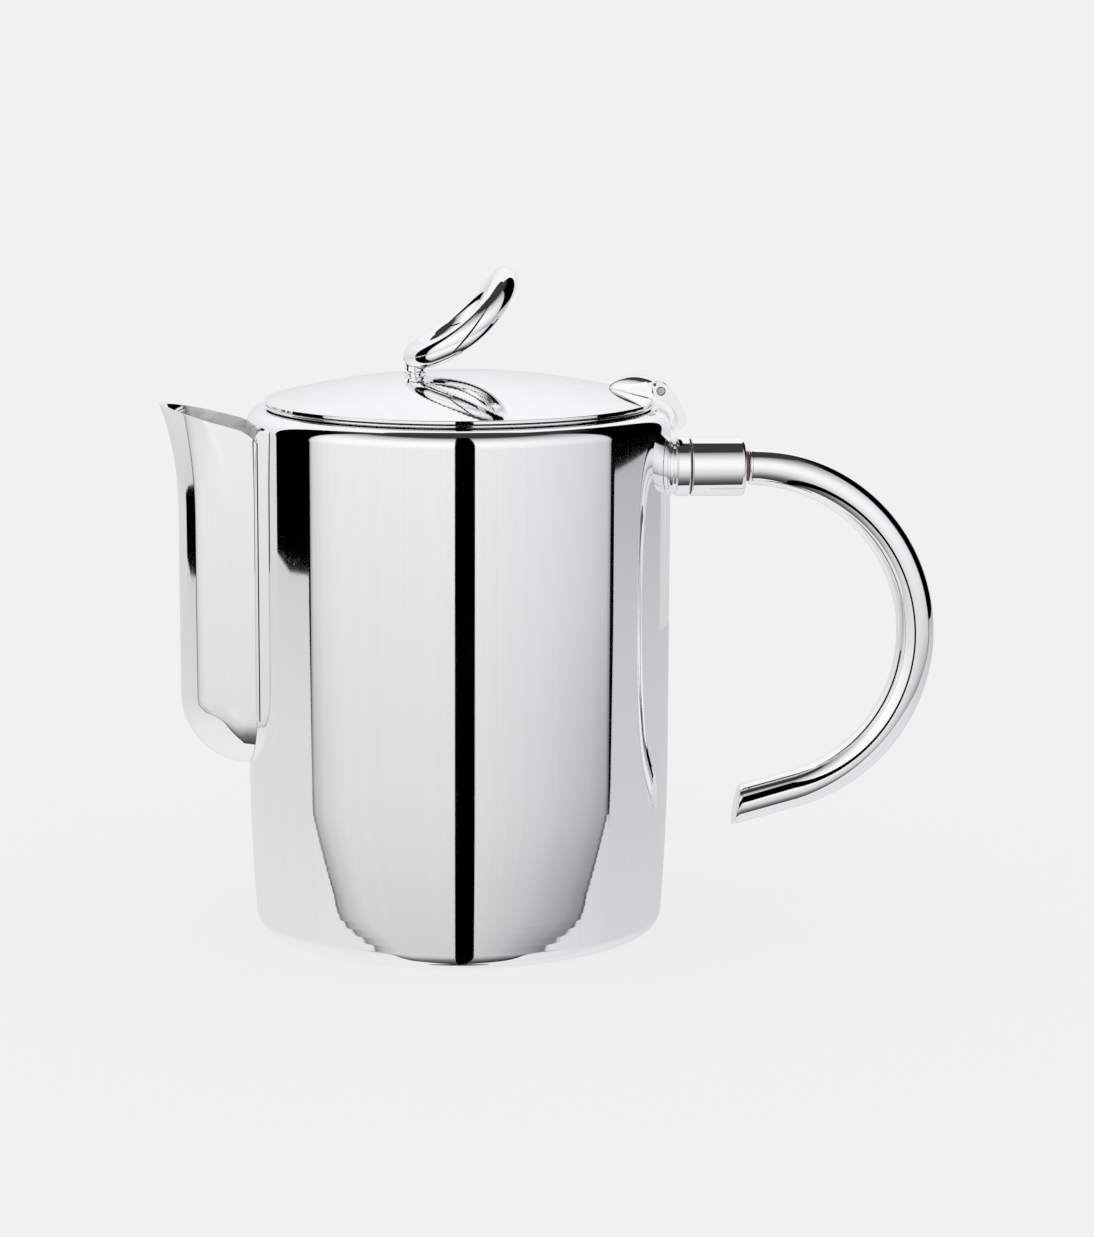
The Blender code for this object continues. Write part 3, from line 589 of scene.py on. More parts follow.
def strainer_cutter():
    """The straining holes behind the spout, as one group of pegs along X."""
    made = bmesh.new()
    for row in range(STRAINER_ROWS):
        for column in range(STRAINER_COLUMNS):
            y = (column - (STRAINER_COLUMNS - 1) / 2) * STRAINER_PITCH
            z = STRAINER_BASE + row * STRAINER_PITCH
            place = Matrix.Translation((-BODY_RADIUS, y, z)) @ Matrix.Rotation(math.pi / 2, 4, "Y")
            cylinder(STRAINER_HOLE_RADIUS, 8 * MM, 24, place, made)
    return helper("strainer_cutter", made)


def body_shell():
    """The spun wall, base and shoulder, with a rounded lip at the mouth."""
    half = WALL / 2
    lip = arc((MOUTH_RADIUS + half, LAND_HEIGHT - half), (half, half), 90, 270, 8)
    profile = body_profile(0)[:-1] + lip + body_profile(WALL)[::-1][1:]
    obj = add_piece("body_shell", turned(profile, LATHE_STEPS, False), body_silver, "pot")
    boolean(obj, strainer_cutter())


# ---- spout ----


def wall_x(y):
    """Where the spout meets the body's wall."""
    radius = BODY_RADIUS + CONTACT
    return -math.sqrt(radius * radius - y * y)


def flare(height):
    """0 below the flare and 1 at the lip, growing faster towards the lip."""
    reach = (height - SPOUT_FLARE_BASE) / (SPOUT_LIP_HEIGHT - SPOUT_FLARE_BASE)
    return max(0.0, reach) ** SPOUT_FLARE_POWER


def side_half_width(x):
    """Half the width between the spout's flat sides, which converge towards the lip."""
    return SPOUT_HALF_WIDTH + SPOUT_SIDE_TAPER * (x + BODY_RADIUS)


def nose_point(turn, spine, inward, depth, power, inset):
    """A point on the rounded front: turn runs from -1 to 1 across it."""
    angle = turn * math.pi / 2
    across = math.copysign(abs(math.sin(angle)) ** (2 / power), turn)
    back = depth * (1 - abs(math.cos(angle)) ** (2 / power))
    edge_x = spine[0] + inward[0] * depth
    half_width = side_half_width(edge_x) - inset
    return (spine[0] + inward[0] * back, half_width * across, spine[1] + inward[1] * back)


def front_station(height, inset):
    """Spine point, inward direction, nose depth and power at a height above the heel."""
    grown = flare(height)
    spine = (-SPOUT_FRONT - SPOUT_FLARE * grown + inset, height)
    depth = SPOUT_NOSE_DEPTH + (SPOUT_LIP_DEPTH - SPOUT_NOSE_DEPTH) * grown
    power = SPOUT_NOSE_POWER + (SPOUT_LIP_POWER - SPOUT_NOSE_POWER) * grown
    return spine, (1, 0), depth, power


def heel_station(angle, inset):
    """The same on the quarter-round heel: angle is 0 at the front and 90 degrees at the wall."""
    radius = SPOUT_HEEL_RADIUS - inset
    inward = (math.cos(angle), math.sin(angle))
    spine_x = SPOUT_HEEL_RADIUS - SPOUT_FRONT - radius * inward[0]
    spine_z = SPOUT_HEEL_HEIGHT - radius * inward[1]
    return (spine_x, spine_z), inward, SPOUT_NOSE_DEPTH, SPOUT_NOSE_POWER


def section_point(column, station, inset):
    """A point of one cross-section: column runs from -2 to 2, and beyond +-1 lies a flat side."""
    turn = max(-1.0, min(1.0, column))
    x, y, z = nose_point(turn, *station, inset)
    along = abs(column) - 1
    if along <= 0:
        return (x, y, z)
    side = math.copysign(1, column)
    flared = SPOUT_SEAM_FLARE * (max(0.0, along - SPOUT_SEAM_START) / (1 - SPOUT_SEAM_START)) ** 3
    seam_y = SPOUT_HALF_WIDTH - inset + SPOUT_SEAM_FLARE
    x += (wall_x(seam_y) - x) * along
    return (x, side * (side_half_width(x) - inset + flared), z)


def rim_height(x, y):
    """The sloping mouth, with its corner rounded down into the body."""
    height = SPOUT_LIP_HEIGHT - SPOUT_RIM_SLOPE * (x + SPOUT_FRONT + SPOUT_FLARE)
    short = (SPOUT_RIM_CORNER_RUN - (wall_x(y) - x)) / SPOUT_RIM_CORNER_RUN
    short = max(0.0, min(short, 1.0))
    return height - SPOUT_RIM_CORNER_DROP * (1 - math.sqrt(1 - short * short))


def column_top(column, inset):
    """The height at which a column of the spout's surface reaches the rim."""
    low = SPOUT_HEEL_HEIGHT
    high = SPOUT_LIP_HEIGHT + 2 * MM
    for _ in range(40):
        middle = (low + high) / 2
        x, y = section_point(column, front_station(middle, inset), inset)[:2]
        if middle < rim_height(x, y):
            low = middle
        else:
            high = middle
    return low


def spout_columns():
    """The columns from one seam, round the nose, to the other, closer together near the seams."""
    nose_steps = 56
    side_steps = 8
    seam_steps = 8
    nose = [-1 + 2 * i / nose_steps for i in range(nose_steps + 1)]
    side = [1 + SPOUT_SEAM_START * i / side_steps for i in range(1, side_steps + 1)]
    seam = 1 - SPOUT_SEAM_START
    side += [2 - seam + seam * i / seam_steps for i in range(1, seam_steps + 1)]
    return [-c for c in side[::-1]] + nose + side


def spout_surface(inset, columns):
    """Rows of points from the heel's end at the wall up to the rim."""
    foot = []
    for column in columns:
        x, y, z = section_point(column, heel_station(math.pi / 2, inset), inset)
        foot.append((wall_x(y), y, z))
    rows = [foot]
    for degrees in range(80, 0, -4):
        station = heel_station(math.radians(degrees), inset)
        rows.append([section_point(column, station, inset) for column in columns])
    straight_steps = 8
    for i in range(straight_steps + 1):
        height = SPOUT_HEEL_HEIGHT + (SPOUT_FLARE_BASE - SPOUT_HEEL_HEIGHT) * i / straight_steps
        station = front_station(height, inset)
        rows.append([section_point(column, station, inset) for column in columns])
    tops = [column_top(column, inset) for column in columns]
    lip_steps = 28
    for i in range(1, lip_steps + 1):
        row = []
        for column, top in zip(columns, tops):
            height = SPOUT_FLARE_BASE + (top - SPOUT_FLARE_BASE) * i / lip_steps
            row.append(section_point(column, front_station(height, inset), inset))
        rows.append(row)
    return rows


def spout_shell():
    """The trough: an outer and an inner surface, joined by a rounded rim."""
    columns = spout_columns()
    outer = spout_surface(0, columns)
    inner = spout_surface(SPOUT_WALL, columns)
    rings = [o + i[::-1] for o, i in zip(outer, inner)]
    made = skinned_sheet(rings, len(columns))
    made.faces.ensure_lookup_table()
    ring_faces = 2 * len(columns)
    for index in range((len(rings) - 1) * ring_faces):
        column = index % ring_faces
        if len(columns) <= column < ring_faces - 1:
            made.faces[index].material_index = 1
    obj = add_piece("spout_shell", made, spout_silver, "pot", sharp=60)
    obj.data.materials.append(spout_inside)
    soften(obj, SPOUT_RIM_ROUNDING, 3, 50, 60)


# ---- lid ----


def dome_height(radius, drop=0.0):
    """The height of the lid's dome, or of a surface that far inside it."""
    sphere = DOME_SPHERE - drop
    return DOME_TOP - DOME_SPHERE + math.sqrt(sphere * sphere - radius * radius)


def lid_cover():
    """The domed sheet with its rolled edge, and the hole for the finial's shank."""
    outer_edge = DOME_EDGE - DOME_ROLL
    foot = RIM_BAND_BOTTOM + RIM_BAND_HEIGHT + GAP
    inner_edge = math.sqrt((DOME_SPHERE - DOME_WALL) ** 2 - (foot - DOME_TOP + DOME_SPHERE) ** 2)
    steps = 36
    profile = []
    for i in range(steps + 1):
        radius = outer_edge * i / steps
        profile.append((radius, dome_height(radius)))
    roll_top = dome_height(outer_edge)
    profile += arc((outer_edge, roll_top - DOME_ROLL), (DOME_ROLL, DOME_ROLL), 75, 0, 6)
    profile.append((DOME_EDGE, foot))
    inner_steps = 12
    for i in range(inner_steps, -1, -1):
        radius = inner_edge * i / inner_steps
        profile.append((radius, dome_height(radius, DOME_WALL)))
    obj = add_piece("lid_cover", turned(profile, LATHE_STEPS, False), lid_silver, "lid")
    place = Matrix.Translation((STEM_X, 0, DOME_TOP))
    boolean(obj, helper("shank_hole", cylinder(SHANK_RADIUS + GAP, 10 * MM, 32, place)))


def lid_rim_band():
    """The flat ring under the lid's edge, with a rounded rim that shows below the dome."""
    half = RIM_BAND_HEIGHT / 2
    middle = RIM_BAND_BOTTOM + half
    profile = [(RIM_BAND_INNER, middle - half)]
    profile += arc((LID_RADIUS - half, middle), (half, half), -90, 90, 14)
    profile.append((RIM_BAND_INNER, middle + half))
    add_piece("lid_rim_band", turned(profile, LATHE_STEPS, True), lid_silver, "lid")


# ---- finial ----


def finial_centre(around):
    """The wire's centre line: a circle whose two sides sag below the plane of its ends."""
    across = math.sin(around)
    return Vector((FINIAL_RADIUS * math.cos(around), FINIAL_RADIUS * across, -FINIAL_SAG * across * across))


def finial_wire(extra, steps, sides):
    """The ring's wire, thickened by extra, about the ring's own centre."""
    radius = FINIAL_WIRE + extra
    step = 2 * math.pi / steps
    rings = []
    for i in range(steps):
        around = step * i
        along = (finial_centre(around + step) - finial_centre(around - step)).normalized()
        outward = Vector((math.cos(around), math.sin(around), 0))
        outward = (outward - along * outward.dot(along)).normalized()
        upward = outward.cross(along)
        ring = []
        for j in range(sides):
            turn = 2 * math.pi * j / sides
            spoke = outward * math.cos(turn) + upward * math.sin(turn)
            ring.append(finial_centre(around) + radius * spoke)
        rings.append(ring)
    return skinned(rings, closed_path=True)


def finial_ring():
    """The ring, leaning back towards the spout on its post."""
    turn = (0, -FINIAL_TILT, 0)
    add_piece("finial_ring", finial_wire(0, 180, 64), finial_silver, "lid", FINIAL_PLACE, turn)


def finial_stem():
    """The post under the ring: waisted, with a small fillet at the lid and a seat cut for the ring."""
    seat = dome_height(abs(STEM_X) - STEM_RADIUS) + GAP
    fillet = 0.7 * MM
    foot = 0.15 * MM
    waist_height = seat + 1.4 * MM
    top = seat + 4 * MM
    profile = [(0, SHANK_END), (SHANK_RADIUS - SHANK_EASE, SHANK_END), (SHANK_RADIUS, SHANK_END + SHANK_EASE)]
    profile += [(SHANK_RADIUS, seat), (STEM_RADIUS, seat)]
    profile += arc((STEM_RADIUS, seat + foot + fillet), (fillet, fillet), 270, 180, 8)
    profile += [(STEM_RADIUS - fillet, waist_height), (STEM_RADIUS, top), (0, top)]
    made = turned(profile, FITTING_STEPS, False)
    obj = add_piece("finial_stem", made, finial_silver, "lid", (STEM_X, 0, 0))
    ring = helper("ring_cutter", finial_wire(CONTACT, 120, 48), FINIAL_PLACE, (0, -FINIAL_TILT, 0))
    boolean(obj, ring)
    even_out(obj)


# ---- hinge ----


def hinge_peg(name, radius, half_length):
    """A cylinder on the hinge axis."""
    place = Matrix.Translation((PIN_X, 0, PIN_Z)) @ Matrix.Rotation(math.pi / 2, 4, "X")
    return helper(name, cylinder(radius, 2 * half_length, 64, place))


def leaf_share(x):
    """How far along the leaf a place is: 0 at the tip and 1 at the hinge."""
    return (x - LEAF_TIP_X) / (LEAF_END_X - LEAF_TIP_X)


def leaf_half_width(x):
    """Half the leaf's width, which widens from the tip to the hinge's own width."""
    return HINGE_HALF_WIDTH * leaf_share(x) ** LEAF_OUTLINE_POWER


def leaf_crest(x):
    """The height of the leaf's middle line above the dome, rising from its tip."""
    return LEAF_RISE * (1 - (1 - leaf_share(x)) ** 2) ** LEAF_CREST_POWER


def leaf_side(x):
    """The height of the leaf's upright sides, which grow from nothing behind the tip."""
    grown = (leaf_share(x) - LEAF_SIDE_START) / (1 - LEAF_SIDE_START)
    return max(LEAF_SIDE_SHARE * leaf_crest(x), LEAF_SIDE_RISE * grown)


def leaf_floor(x, y):
    """The leaf's underside: a gap above the dome and above the rim band."""
    return max(dome_height(math.hypot(x, y)), RIM_BAND_BOTTOM + RIM_BAND_HEIGHT) + FINE_GAP


def leaf_ring(x):
    """One cross-section of the leaf: sides that grow taller towards the hinge, under a crowned top."""
    half_width = leaf_half_width(x)
    side = leaf_side(x)
    crown = leaf_crest(x) - side
    steps = 24
    ring = []
    for i in range(steps + 1):
        y = half_width * (1 - 2 * i / steps)
        ring.append((x, y, leaf_floor(x, y)))
    for i in range(steps + 1):
        share = -1 + 2 * i / steps
        y = half_width * share
        ring.append((x, y, leaf_floor(x, y) + side + crown * (1 - share ** 4)))
    return ring


def hinge_leaf():
    """The lid's half of the hinge: a leaf on the dome and a knuckle between the ears."""
    steps = 28
    first = 0.01
    rings = []
    for i in range(steps + 1):
        share = first + (1 - first) * (i / steps) ** 1.6
        rings.append(leaf_ring(LEAF_TIP_X + (LEAF_END_X - LEAF_TIP_X) * share))
    obj = add_piece("hinge_leaf", skinned(rings), fitting_silver, "lid", sharp=40)
    neck_low = PIN_Z - NECK_DROP
    neck_high = PIN_Z + KNUCKLE_RADIUS - 0.1 * MM
    neck_start = LEAF_END_X - 1 * MM
    neck = [
        (neck_start, neck_low + 0.5 * MM),
        (PIN_X - 0.6 * MM, neck_low),
        (PIN_X - 0.2 * MM, neck_high),
        (neck_start, neck_high),
    ]
    boolean(obj, helper("leaf_neck", prism(neck, KNUCKLE_HALF_WIDTH - 0.05 * MM)), "UNION")
    boolean(obj, hinge_peg("leaf_knuckle", KNUCKLE_RADIUS, KNUCKLE_HALF_WIDTH), "UNION")
    boolean(obj, hinge_peg("leaf_bore", PIN_RADIUS + FINE_GAP, 2 * HINGE_HALF_WIDTH))
    soften(obj, 0.16 * MM, 3, 38, 60)


def bracket_outline():
    """The claw in side view: the ears' round end, the outer sweep, the foot and the inner sweep."""
    eye = arc((PIN_X, PIN_Z), (EAR_RADIUS, EAR_RADIUS), 245, 55, 24)
    outer = [(x * MM, z * MM) for x, z in BRACKET_OUTER_MM]
    inner = [(x * MM, z * MM) for x, z in BRACKET_INNER_MM]
    outer_run = smooth_run([eye[-1]] + outer + [inner[0]], 5)[1:-1]
    inner_run = smooth_run(inner[1:] + [eye[0]], 5)[:-1]
    return eye + outer_run + [inner[0]] + inner_run


def smooth_run(points, steps):
    """A Catmull-Rom curve through the points."""
    ends = [points[0]] + points + [points[-1]]
    run = []
    for i in range(1, len(ends) - 2):
        before, start, end, after = (Vector(p) for p in ends[i - 1:i + 3])
        for j in range(steps):
            t = j / steps
            place = 2 * start + (end - before) * t
            place += (2 * before - 5 * start + 4 * end - after) * t * t
            place += (3 * start - before - 3 * end + after) * t ** 3
            run.append(tuple(place / 2))
    run.append(points[-1])
    return run


def hinge_bracket():
    """The body's half of the hinge: two ears that reach over the shoulder from the wall."""
    claw = prism(bracket_outline(), HINGE_HALF_WIDTH)
    obj = add_piece("hinge_bracket", claw, fitting_silver, "pot", sharp=40)
    slot_reach = KNUCKLE_RADIUS + GAP
    clear = 5 * MM
    slot = arc((PIN_X, PIN_Z), (slot_reach, slot_reach), -90, 60, 24)
    slot += [(PIN_X - clear, PIN_Z + clear), (PIN_X - clear, PIN_Z - clear)]
    slot.append((PIN_X - 0.5 * MM, PIN_Z - clear))
    boolean(obj, helper("bracket_slot", prism(slot, KNUCKLE_HALF_WIDTH + FINE_GAP)))
    boolean(obj, hinge_peg("bracket_bore", PIN_RADIUS + GAP * 0.6, 2 * HINGE_HALF_WIDTH))
    place = Matrix.Translation((0, 0, BRACKET_FOOT))
    boolean(obj, helper("bracket_fit", cylinder(BODY_RADIUS + CONTACT, 8 * MM, LATHE_STEPS, place)))
    soften(obj, 0.22 * MM, 3, 38, 60)


def hinge_pin():
    """The pin, as wide as the hinge, with its ends a little domed."""
    end = HINGE_HALF_WIDTH
    dome = 0.2 * MM
    profile = [(0, -end)] + arc((PIN_RADIUS - dome, dome - end), (dome, dome), -90, 0, 6)
    profile += arc((PIN_RADIUS - dome, end - dome), (dome, dome), 0, 90, 6) + [(0, end)]
    place = (PIN_X, 0, PIN_Z)
    add_piece("hinge_pin", turned(profile, 64, False), pin_steel, "pot", place, (math.pi / 2, 0, 0))


# ---- handle ----


def along_x(node, profile, finish, closed):
    """A turned piece on the handle's axis, from (radius, distance along X) points."""
    made = turned(profile, FITTING_STEPS, closed)
    return add_piece(node, made, finish, "pot", (0, 0, HANDLE_Z), (0, math.pi / 2, 0), 30)


def handle_socket():
    """The boss soldered to the wall: a plain root, a groove and a wider ring."""
    tapped = STUD_RADIUS + GAP
    ease = 0.3 * MM
    crown = 0.45 * MM
    groove_ease = 0.1 * MM
    groove_start = 55.5 * MM
    groove_end = 56.2 * MM
    profile = [(0, SOCKET_ROOT), (SOCKET_ROOT_RADIUS, SOCKET_ROOT)]
    profile += arc((SOCKET_ROOT_RADIUS - ease, groove_start - ease), (ease, ease), 0, 90, 6)
    profile.append((SOCKET_GROOVE_RADIUS, groove_start + groove_ease))
    profile.append((SOCKET_GROOVE_RADIUS, groove_end - groove_ease))
    profile += arc((FERRULE_RADIUS - crown, groove_end + crown), (crown, crown), -90, 0, 8)
    profile += arc((FERRULE_RADIUS - ease, SOCKET_END - ease), (ease, ease), 0, 90, 6)
    profile += [(tapped, SOCKET_END), (tapped, SOCKET_HOLE_END), (0, SOCKET_HOLE_END)]
    obj = along_x("handle_socket", profile, fitting_silver, False)
    place = Matrix.Translation((0, 0, HANDLE_Z))
    fit = helper("socket_fit", cylinder(BODY_RADIUS + CONTACT, 40 * MM, LATHE_STEPS, place))
    boolean(obj, fit, sharp=30)
    even_out(obj)


def washer_profile(bore, radius, start, end):
    """A flat washer with its rim eased."""
    ease = 0.12 * MM
    profile = [(bore, start)] + arc((radius - ease, start + ease), (ease, ease), -90, 0, 4)
    return profile + arc((radius - ease, end - ease), (ease, ease), 0, 90, 4) + [(bore, end)]


def insulators():
    """Two washers that keep the pot's heat off the handle."""
    bore = STUD_RADIUS + GAP
    inner = washer_profile(bore, INNER_INSULATOR_RADIUS, SOCKET_END + WASHER_GAP, FERRULE_START - WASHER_GAP)
    along_x("inner_insulator", inner, insulator, True)
    outer = washer_profile(bore, OUTER_INSULATOR_RADIUS, FERRULE_END + WASHER_GAP, TUBE_START - WASHER_GAP)
    along_x("outer_insulator", outer, insulator, True)


def handle_ferrule():
    """The heavy sleeve between the two insulators, rounded over at its outer end."""
    bore = STUD_RADIUS + GAP
    ease = 0.3 * MM
    round_over = 1.1 * MM
    profile = [(bore, FERRULE_START)]
    profile += arc((FERRULE_RADIUS - ease, FERRULE_START + ease), (ease, ease), -90, 0, 6)
    shoulder = (FERRULE_RADIUS - round_over, FERRULE_END - round_over)
    profile += arc(shoulder, (round_over, round_over), 0, 90, 12)
    profile.append((bore, FERRULE_END))
    along_x("handle_ferrule", profile, fitting_silver, True)


def handle_path():
    """Centre points and directions in the XZ plane, from the ferrule round to the tail."""
    path = []
    for radius, start, end, steps in ((UPPER_BEND, math.pi / 2, 0, 72), (LOWER_BEND, 0, -TAIL_ANGLE, 60)):
        centre_x = TUBE_START + UPPER_BEND - radius
        for i in range(1 if path else 0, steps + 1):
            angle = start + (end - start) * i / steps
            place = (centre_x + radius * math.cos(angle), HANDLE_Z - UPPER_BEND + radius * math.sin(angle))
            path.append((place, (math.sin(angle), -math.cos(angle))))
    return path


def tail_end(path):
    """The centre of the tail's end face, and the tail's direction."""
    (x, z), (dx, dz) = path[-1]
    return (x + TAIL_LENGTH * dx, z + TAIL_LENGTH * dz), (dx, dz)


def ring_about(place, direction, radius):
    """A circle of points square to a direction in the XZ plane."""
    across = (-direction[1], direction[0])
    ring = []
    for i in range(TUBE_SIDES):
        angle = 2 * math.pi * i / TUBE_SIDES
        reach = radius * math.cos(angle)
        ring.append((place[0] + across[0] * reach, radius * math.sin(angle), place[1] + across[1] * reach))
    return ring


def mitred_ring(path, radius, setback):
    """The tube's section slid along the tail until it lies on the leaning end face."""
    (x, z), direction = tail_end(path)
    normal = (-math.cos(END_FACE_LEAN), math.sin(END_FACE_LEAN))
    rate = normal[0] * direction[0] + normal[1] * direction[1]
    ring = []
    for px, py, pz in ring_about((x, z), direction, radius):
        slide = -((px - x) * normal[0] + (pz - z) * normal[1]) / rate - setback
        ring.append((px + direction[0] * slide, py, pz + direction[1] * slide))
    return ring


def handle_tube():
    """The C-shaped tube, with its upper end rounded over at the insulator."""
    path = handle_path()
    joint = CAP_THICKNESS + CAP_JOINT
    ease = 0.9 * MM
    ease_steps = 12
    place, heading = path[0]
    outer = []
    for i in range(ease_steps + 1):
        turn = math.pi / 2 * i / ease_steps
        slid = (place[0] + ease * (1 - math.cos(turn)), place[1])
        outer.append(ring_about(slid, heading, TUBE_RADIUS - ease * (1 - math.sin(turn))))
    outer += [ring_about(spot, along, TUBE_RADIUS) for spot, along in path[2:]]
    inner = [ring_about(spot, along, TUBE_BORE) for spot, along in path]
    outer.append(mitred_ring(path, TUBE_RADIUS, joint))
    inner.append(mitred_ring(path, TUBE_BORE, joint))
    made = skinned(outer + inner[::-1], closed_path=True)
    add_piece("handle_tube", made, handle_silver, "pot", sharp=40)


def handle_end_cap():
    """The flat cap on the tail, with an eased edge and a spigot inside the tube."""
    path = handle_path()
    spigot = TUBE_BORE - GAP
    ease = 0.25 * MM
    ease_steps = 6
    rings = []
    for i in range(ease_steps + 1):
        turn = math.pi / 2 * i / ease_steps
        radius = TUBE_RADIUS - ease * (1 - math.sin(turn))
        rings.append(mitred_ring(path, radius, ease * (1 - math.cos(turn))))
    rings.append(mitred_ring(path, TUBE_RADIUS, CAP_THICKNESS))
    rings.append(mitred_ring(path, spigot, CAP_THICKNESS))
    rings.append(mitred_ring(path, spigot, CAP_SPIGOT_END))
    add_piece("handle_end_cap", skinned(rings), handle_silver, "pot", sharp=40)


# ---- the pieces that stay as the frame has them ----


def carried_over(node, finish):
    """A CAD node that is hidden when the lid is shut keeps its mesh and gets a better finish."""
    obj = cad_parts[node]
    obj.data.materials.clear()
    obj.data.materials.append(finish)


# ---- stage ----


def backdrop():
    """A plain pale floor and an even surrounding light of the same tone."""
    world = bpy.data.worlds.new("studio")
    world.use_nodes = True
    background = world.node_tree.nodes["Background"]
    background.inputs["Color"].default_value = (BACKDROP_LIGHT, BACKDROP_LIGHT, BACKDROP_LIGHT, 1)
    background.inputs["Strength"].default_value = 1.0
    bpy.context.scene.world = world
    made = bmesh.new()
    bmesh.ops.create_grid(made, x_segments=8, y_segments=8, size=FLOOR_SIZE)
    floor = linked("floor", made)
    floor.visible_glossy = False
    paper, tree, shader = new_material("pale_paper")
    shader.inputs["Base Color"].default_value = (FLOOR_GREY, FLOOR_GREY, FLOOR_GREY, 1)
    shader.inputs["Roughness"].default_value = 1.0
    shader.inputs["Specular IOR Level"].default_value = 0.0
    shader.inputs["Emission Color"].default_value = (1, 1, 1, 1)
    shader.inputs["Emission Strength"].default_value = BACKDROP_LIGHT * FLOOR_SHARE
    floor.data.materials.append(paper)


def ramp_of(tree, fraction, stops, low, high):
    """A colour ramp from (place, light) stops between two places."""
    ramp = add_node(tree, "ShaderNodeValToRGB")
    elements = ramp.color_ramp.elements
    elements.remove(elements[1])
    for i, (place, light) in enumerate(stops):
        position = (place - low) / (high - low)
        element = elements[0] if i == 0 else elements.new(position)
        element.position = position
        element.color = (light, light, light, 1)
    tree.links.new(fraction, ramp.inputs["Fac"])
    return ramp.outputs["Color"]


def card_material(name, rise_stops, across_stops, corner_fall, tints):
    """A glowing cloth card: its light varies with height and across, with soft upright folds."""
    low = rise_stops[0][0]
    high = rise_stops[-1][0]
    made = bpy.data.materials.new(name)
    made.use_nodes = True
    tree = made.node_tree
    tree.nodes.clear()
    place = add_node(tree, "ShaderNodeUVMap", uv_map="card")
    split = add_node(tree, "ShaderNodeSeparateXYZ")
    tree.links.new(place.outputs["UV"], split.inputs["Vector"])
    rise = ramp_of(tree, split.outputs["Y"], rise_stops, low, high)
    across = ramp_of(tree, split.outputs["X"], across_stops, 0.0, 1.0)
    fall_start = (CORNER_FALL_TOP - low) / (high - low)
    fall_end = (CORNER_FALL_LOW - low) / (high - low)
    sunk = remap(tree, split.outputs["Y"], fall_start, fall_end, 1.0, 1.0 + corner_fall)
    light = combine(tree, "MULTIPLY", rise, combine(tree, "POWER", across, sunk))
    stretched = add_node(tree, "ShaderNodeMapping", Scale=(FOLDS, 0.6, 1.0))
    tree.links.new(place.outputs["UV"], stretched.inputs["Vector"])
    folds = noise(tree, stretched.outputs["Vector"], 1.0, 3.0, 0.6)
    light = combine(tree, "MULTIPLY", light, remap(tree, folds, 0.25, 0.75, 0.975, 1.025))
    glow = add_node(tree, "ShaderNodeEmission")
    shades = add_node(tree, "ShaderNodeValToRGB")
    for element, tint, position in zip(shades.color_ramp.elements, tints, (0.45, 1.0)):
        element.position = position
        element.color = (*tint, 1)
    tree.links.new(split.outputs["X"], shades.inputs["Fac"])
    tree.links.new(shades.outputs["Color"], glow.inputs["Color"])
    tree.links.new(light, glow.inputs["Strength"])
    output = add_node(tree, "ShaderNodeOutputMaterial")
    tree.links.new(glow.outputs["Emission"], output.inputs["Surface"])
    return made


def direction(azimuth, elevation):
    """A unit vector: azimuth turns from the camera's side towards the handle, in degrees."""
    turn = math.radians(azimuth + CAMERA_AZIMUTH)
    rise = math.radians(elevation)
    return Vector((math.sin(turn) * math.cos(rise), -math.cos(turn) * math.cos(rise), math.sin(rise)))


def card(name, reach, edges, rise_stops, across_stops=EVEN_ACROSS, corner_fall=0.0, tints=(NEUTRAL, NEUTRAL)):
    """A curved card around the pot, seen only in reflections: edges gives its two sides at an elevation."""
    low = rise_stops[0][0]
    high = rise_stops[-1][0]
    made = bmesh.new()
    layer = made.loops.layers.uv.new("card")
    rows = []
    for i in range(CARD_RISE_STEPS + 1):
        elevation = low + (high - low) * i / CARD_RISE_STEPS
        left, right = edges(elevation)
        row = []
        for j in range(CARD_STEPS + 1):
            azimuth = left + (right - left) * j / CARD_STEPS
            row.append(made.verts.new(CAMERA_TARGET + reach * direction(azimuth, elevation)))
        rows.append(row)
    for i in range(CARD_RISE_STEPS):
        for j in range(CARD_STEPS):
            corners = ((i, j), (i, j + 1), (i + 1, j + 1), (i + 1, j))
            face = made.faces.new([rows[row][column] for row, column in corners])
            for loop, (row, column) in zip(face.loops, corners):
                loop[layer].uv = (column / CARD_STEPS, row / CARD_RISE_STEPS)
    obj = linked(name, made)
    obj.data.materials.append(card_material(name, rise_stops, across_stops, corner_fall, tints))
    obj.visible_camera = False
    obj.visible_diffuse = False
    obj.visible_shadow = False


def upright(left, right):
    """The edges of a card whose two sides are upright."""
    return lambda elevation: (left, right)


def lowered(elevation, start, run):
    """0 above a starting elevation and 1 once it is a run of degrees lower."""
    return max(0.0, min(1.0, (start - elevation) / run))


def front_edges(elevation):
    """The front card narrows in a curve towards its lower edge, and closes at the bottom."""
    sunk = max(0.0, -18.7 - elevation) / 5.6
    lean = 1 - 0.15 * lowered(elevation, -15.5, 5.5)
    closing = 1 - lowered(elevation, -60, 27)
    width = lean * (0.5 + 0.5 / (1 + sunk ** 6)) * closing ** 0.5
    return -84.5 * width, 87 * width


def left_edges(elevation):
    """The left card closes in on the front card below the spout's middle."""
    return -180, -86 + 1.5 * lowered(elevation, -8, 6)


def left_slant_edges(elevation):
    """The left card's upper end slants away from the front card."""
    return -180, -113 + 12 * lowered(elevation, -6.7, 0.5)


def right_edges(elevation):
    """The right card closes in on the front card low down."""
    return 89.9 - 2.0 * lowered(elevation, -9, 8), 180


def right_slant_edges(elevation):
    """The right card's upper end slants away from the front card."""
    return 136.2 - 46 * lowered(elevation, -3.4, 0.7), 180


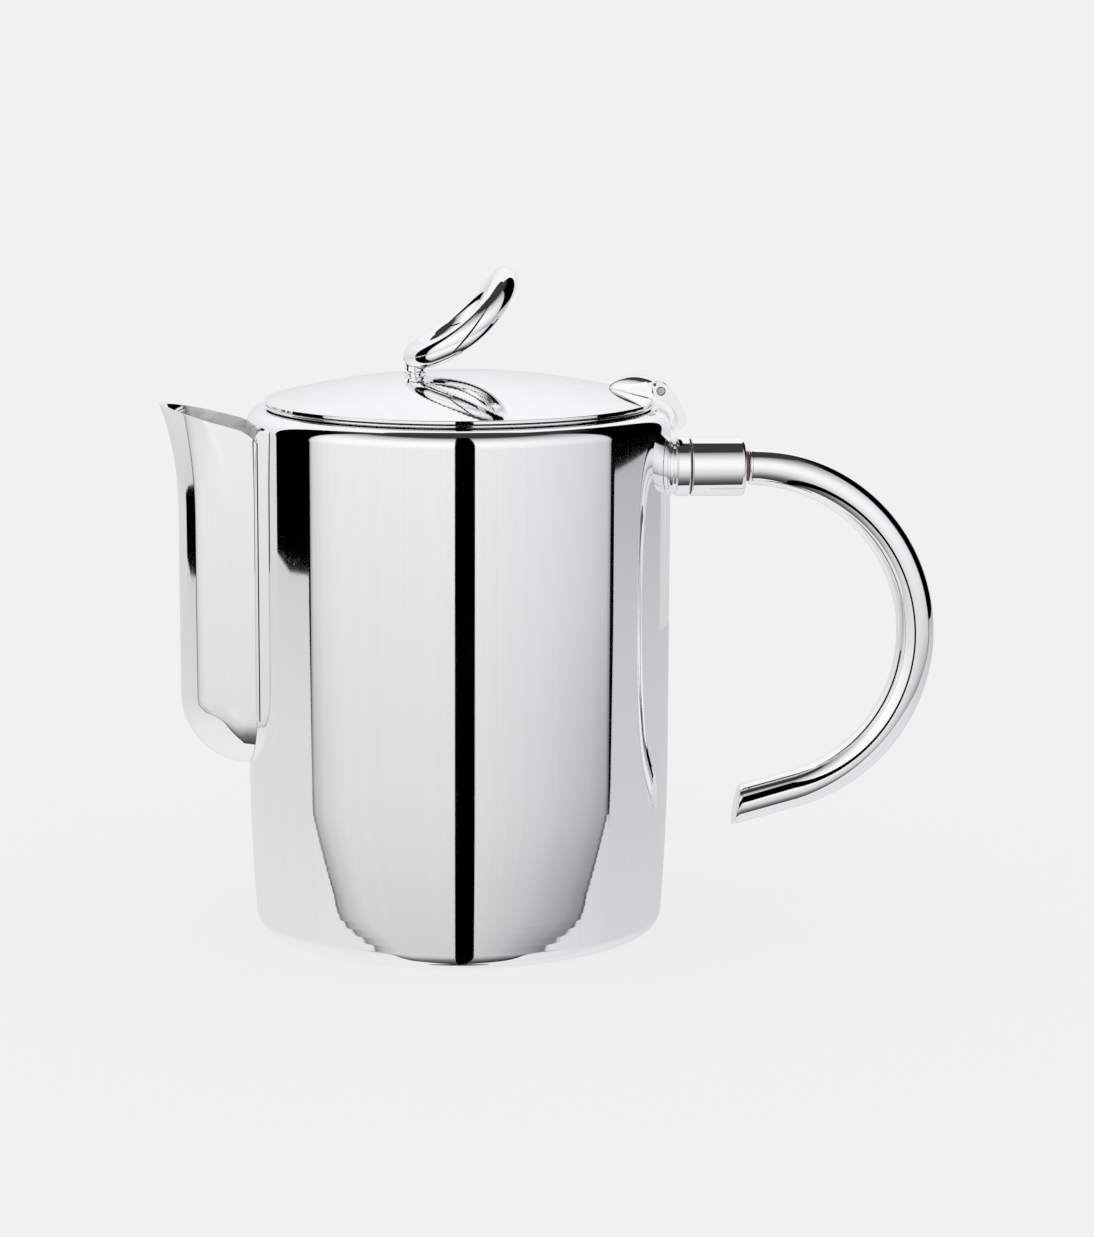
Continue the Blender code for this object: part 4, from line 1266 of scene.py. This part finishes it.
def light_tent():
    """The studio around the pot: a front tent, paler sides, a white back and black flags between, with a dark
    card underneath as painted shade at the pot's foot.
    """
    card("black_surround", SURROUND_REACH, upright(-180, 180), SURROUND_RISE)
    card("left_glow", SIDE_REACH, left_edges, LEFT_RISE)
    card("left_slant", SIDE_REACH, left_slant_edges, LEFT_SLANT_RISE)
    card("right_glow", SIDE_REACH, right_edges, RIGHT_RISE, tints=(COOL, COOL))
    card("right_slant", SIDE_REACH, right_slant_edges, RIGHT_SLANT_RISE, tints=(COOL, COOL))
    card("under_glow", UNDER_REACH, upright(-84.6, 88.0), UNDER_RISE, UNDER_ACROSS, tints=(NEUTRAL, COOL))
    # A dark card straight under the pot: painted shade of the ground at the pot's foot, seen in its
    # reflections.
    card("under_shade", SHADE_REACH, upright(-180, 180), SHADE_RISE)
    card("back_wall", SIDE_REACH, upright(139, 247), BACK_RISE, tints=(FAINT_COOL, FAINT_COOL))
    card("front_tent", FRONT_REACH, front_edges, FRONT_RISE, FRONT_ACROSS, FRONT_CORNER_FALL, (NEUTRAL, COOL))
    card("black_slit", SLIT_REACH, upright(-2.0, 8.4), SLIT_RISE)


def camera():
    """The photograph's viewpoint."""
    data = bpy.data.cameras.new("camera")
    data.lens = CAMERA_LENS
    data.shift_x, data.shift_y = CAMERA_SHIFT
    data.clip_start = 0.01
    obj = bpy.data.objects.new("camera", data)
    bpy.context.scene.collection.objects.link(obj)
    outward = direction(0, CAMERA_ELEVATION)
    obj.location = CAMERA_TARGET + CAMERA_DISTANCE * outward
    obj.rotation_euler = (-outward).to_track_quat("-Z", "Y").to_euler()
    bpy.context.scene.camera = obj


# ---- assembly ----

body_shell()
spout_shell()
hinge_bracket()
hinge_pin()
handle_socket()
insulators()
handle_ferrule()
handle_tube()
handle_end_cap()
lid_cover()
lid_rim_band()
hinge_leaf()
finial_ring()
finial_stem()
carried_over("mouth_ring", body_silver)
carried_over("lid_bezel", lid_silver)
for hidden_node in ("handle_stud", "tube_plug", "finial_washer", "finial_nut"):
    carried_over(hidden_node, hidden_steel)
backdrop()
light_tent()
camera()
bpy.context.scene.view_settings.view_transform = "Standard"
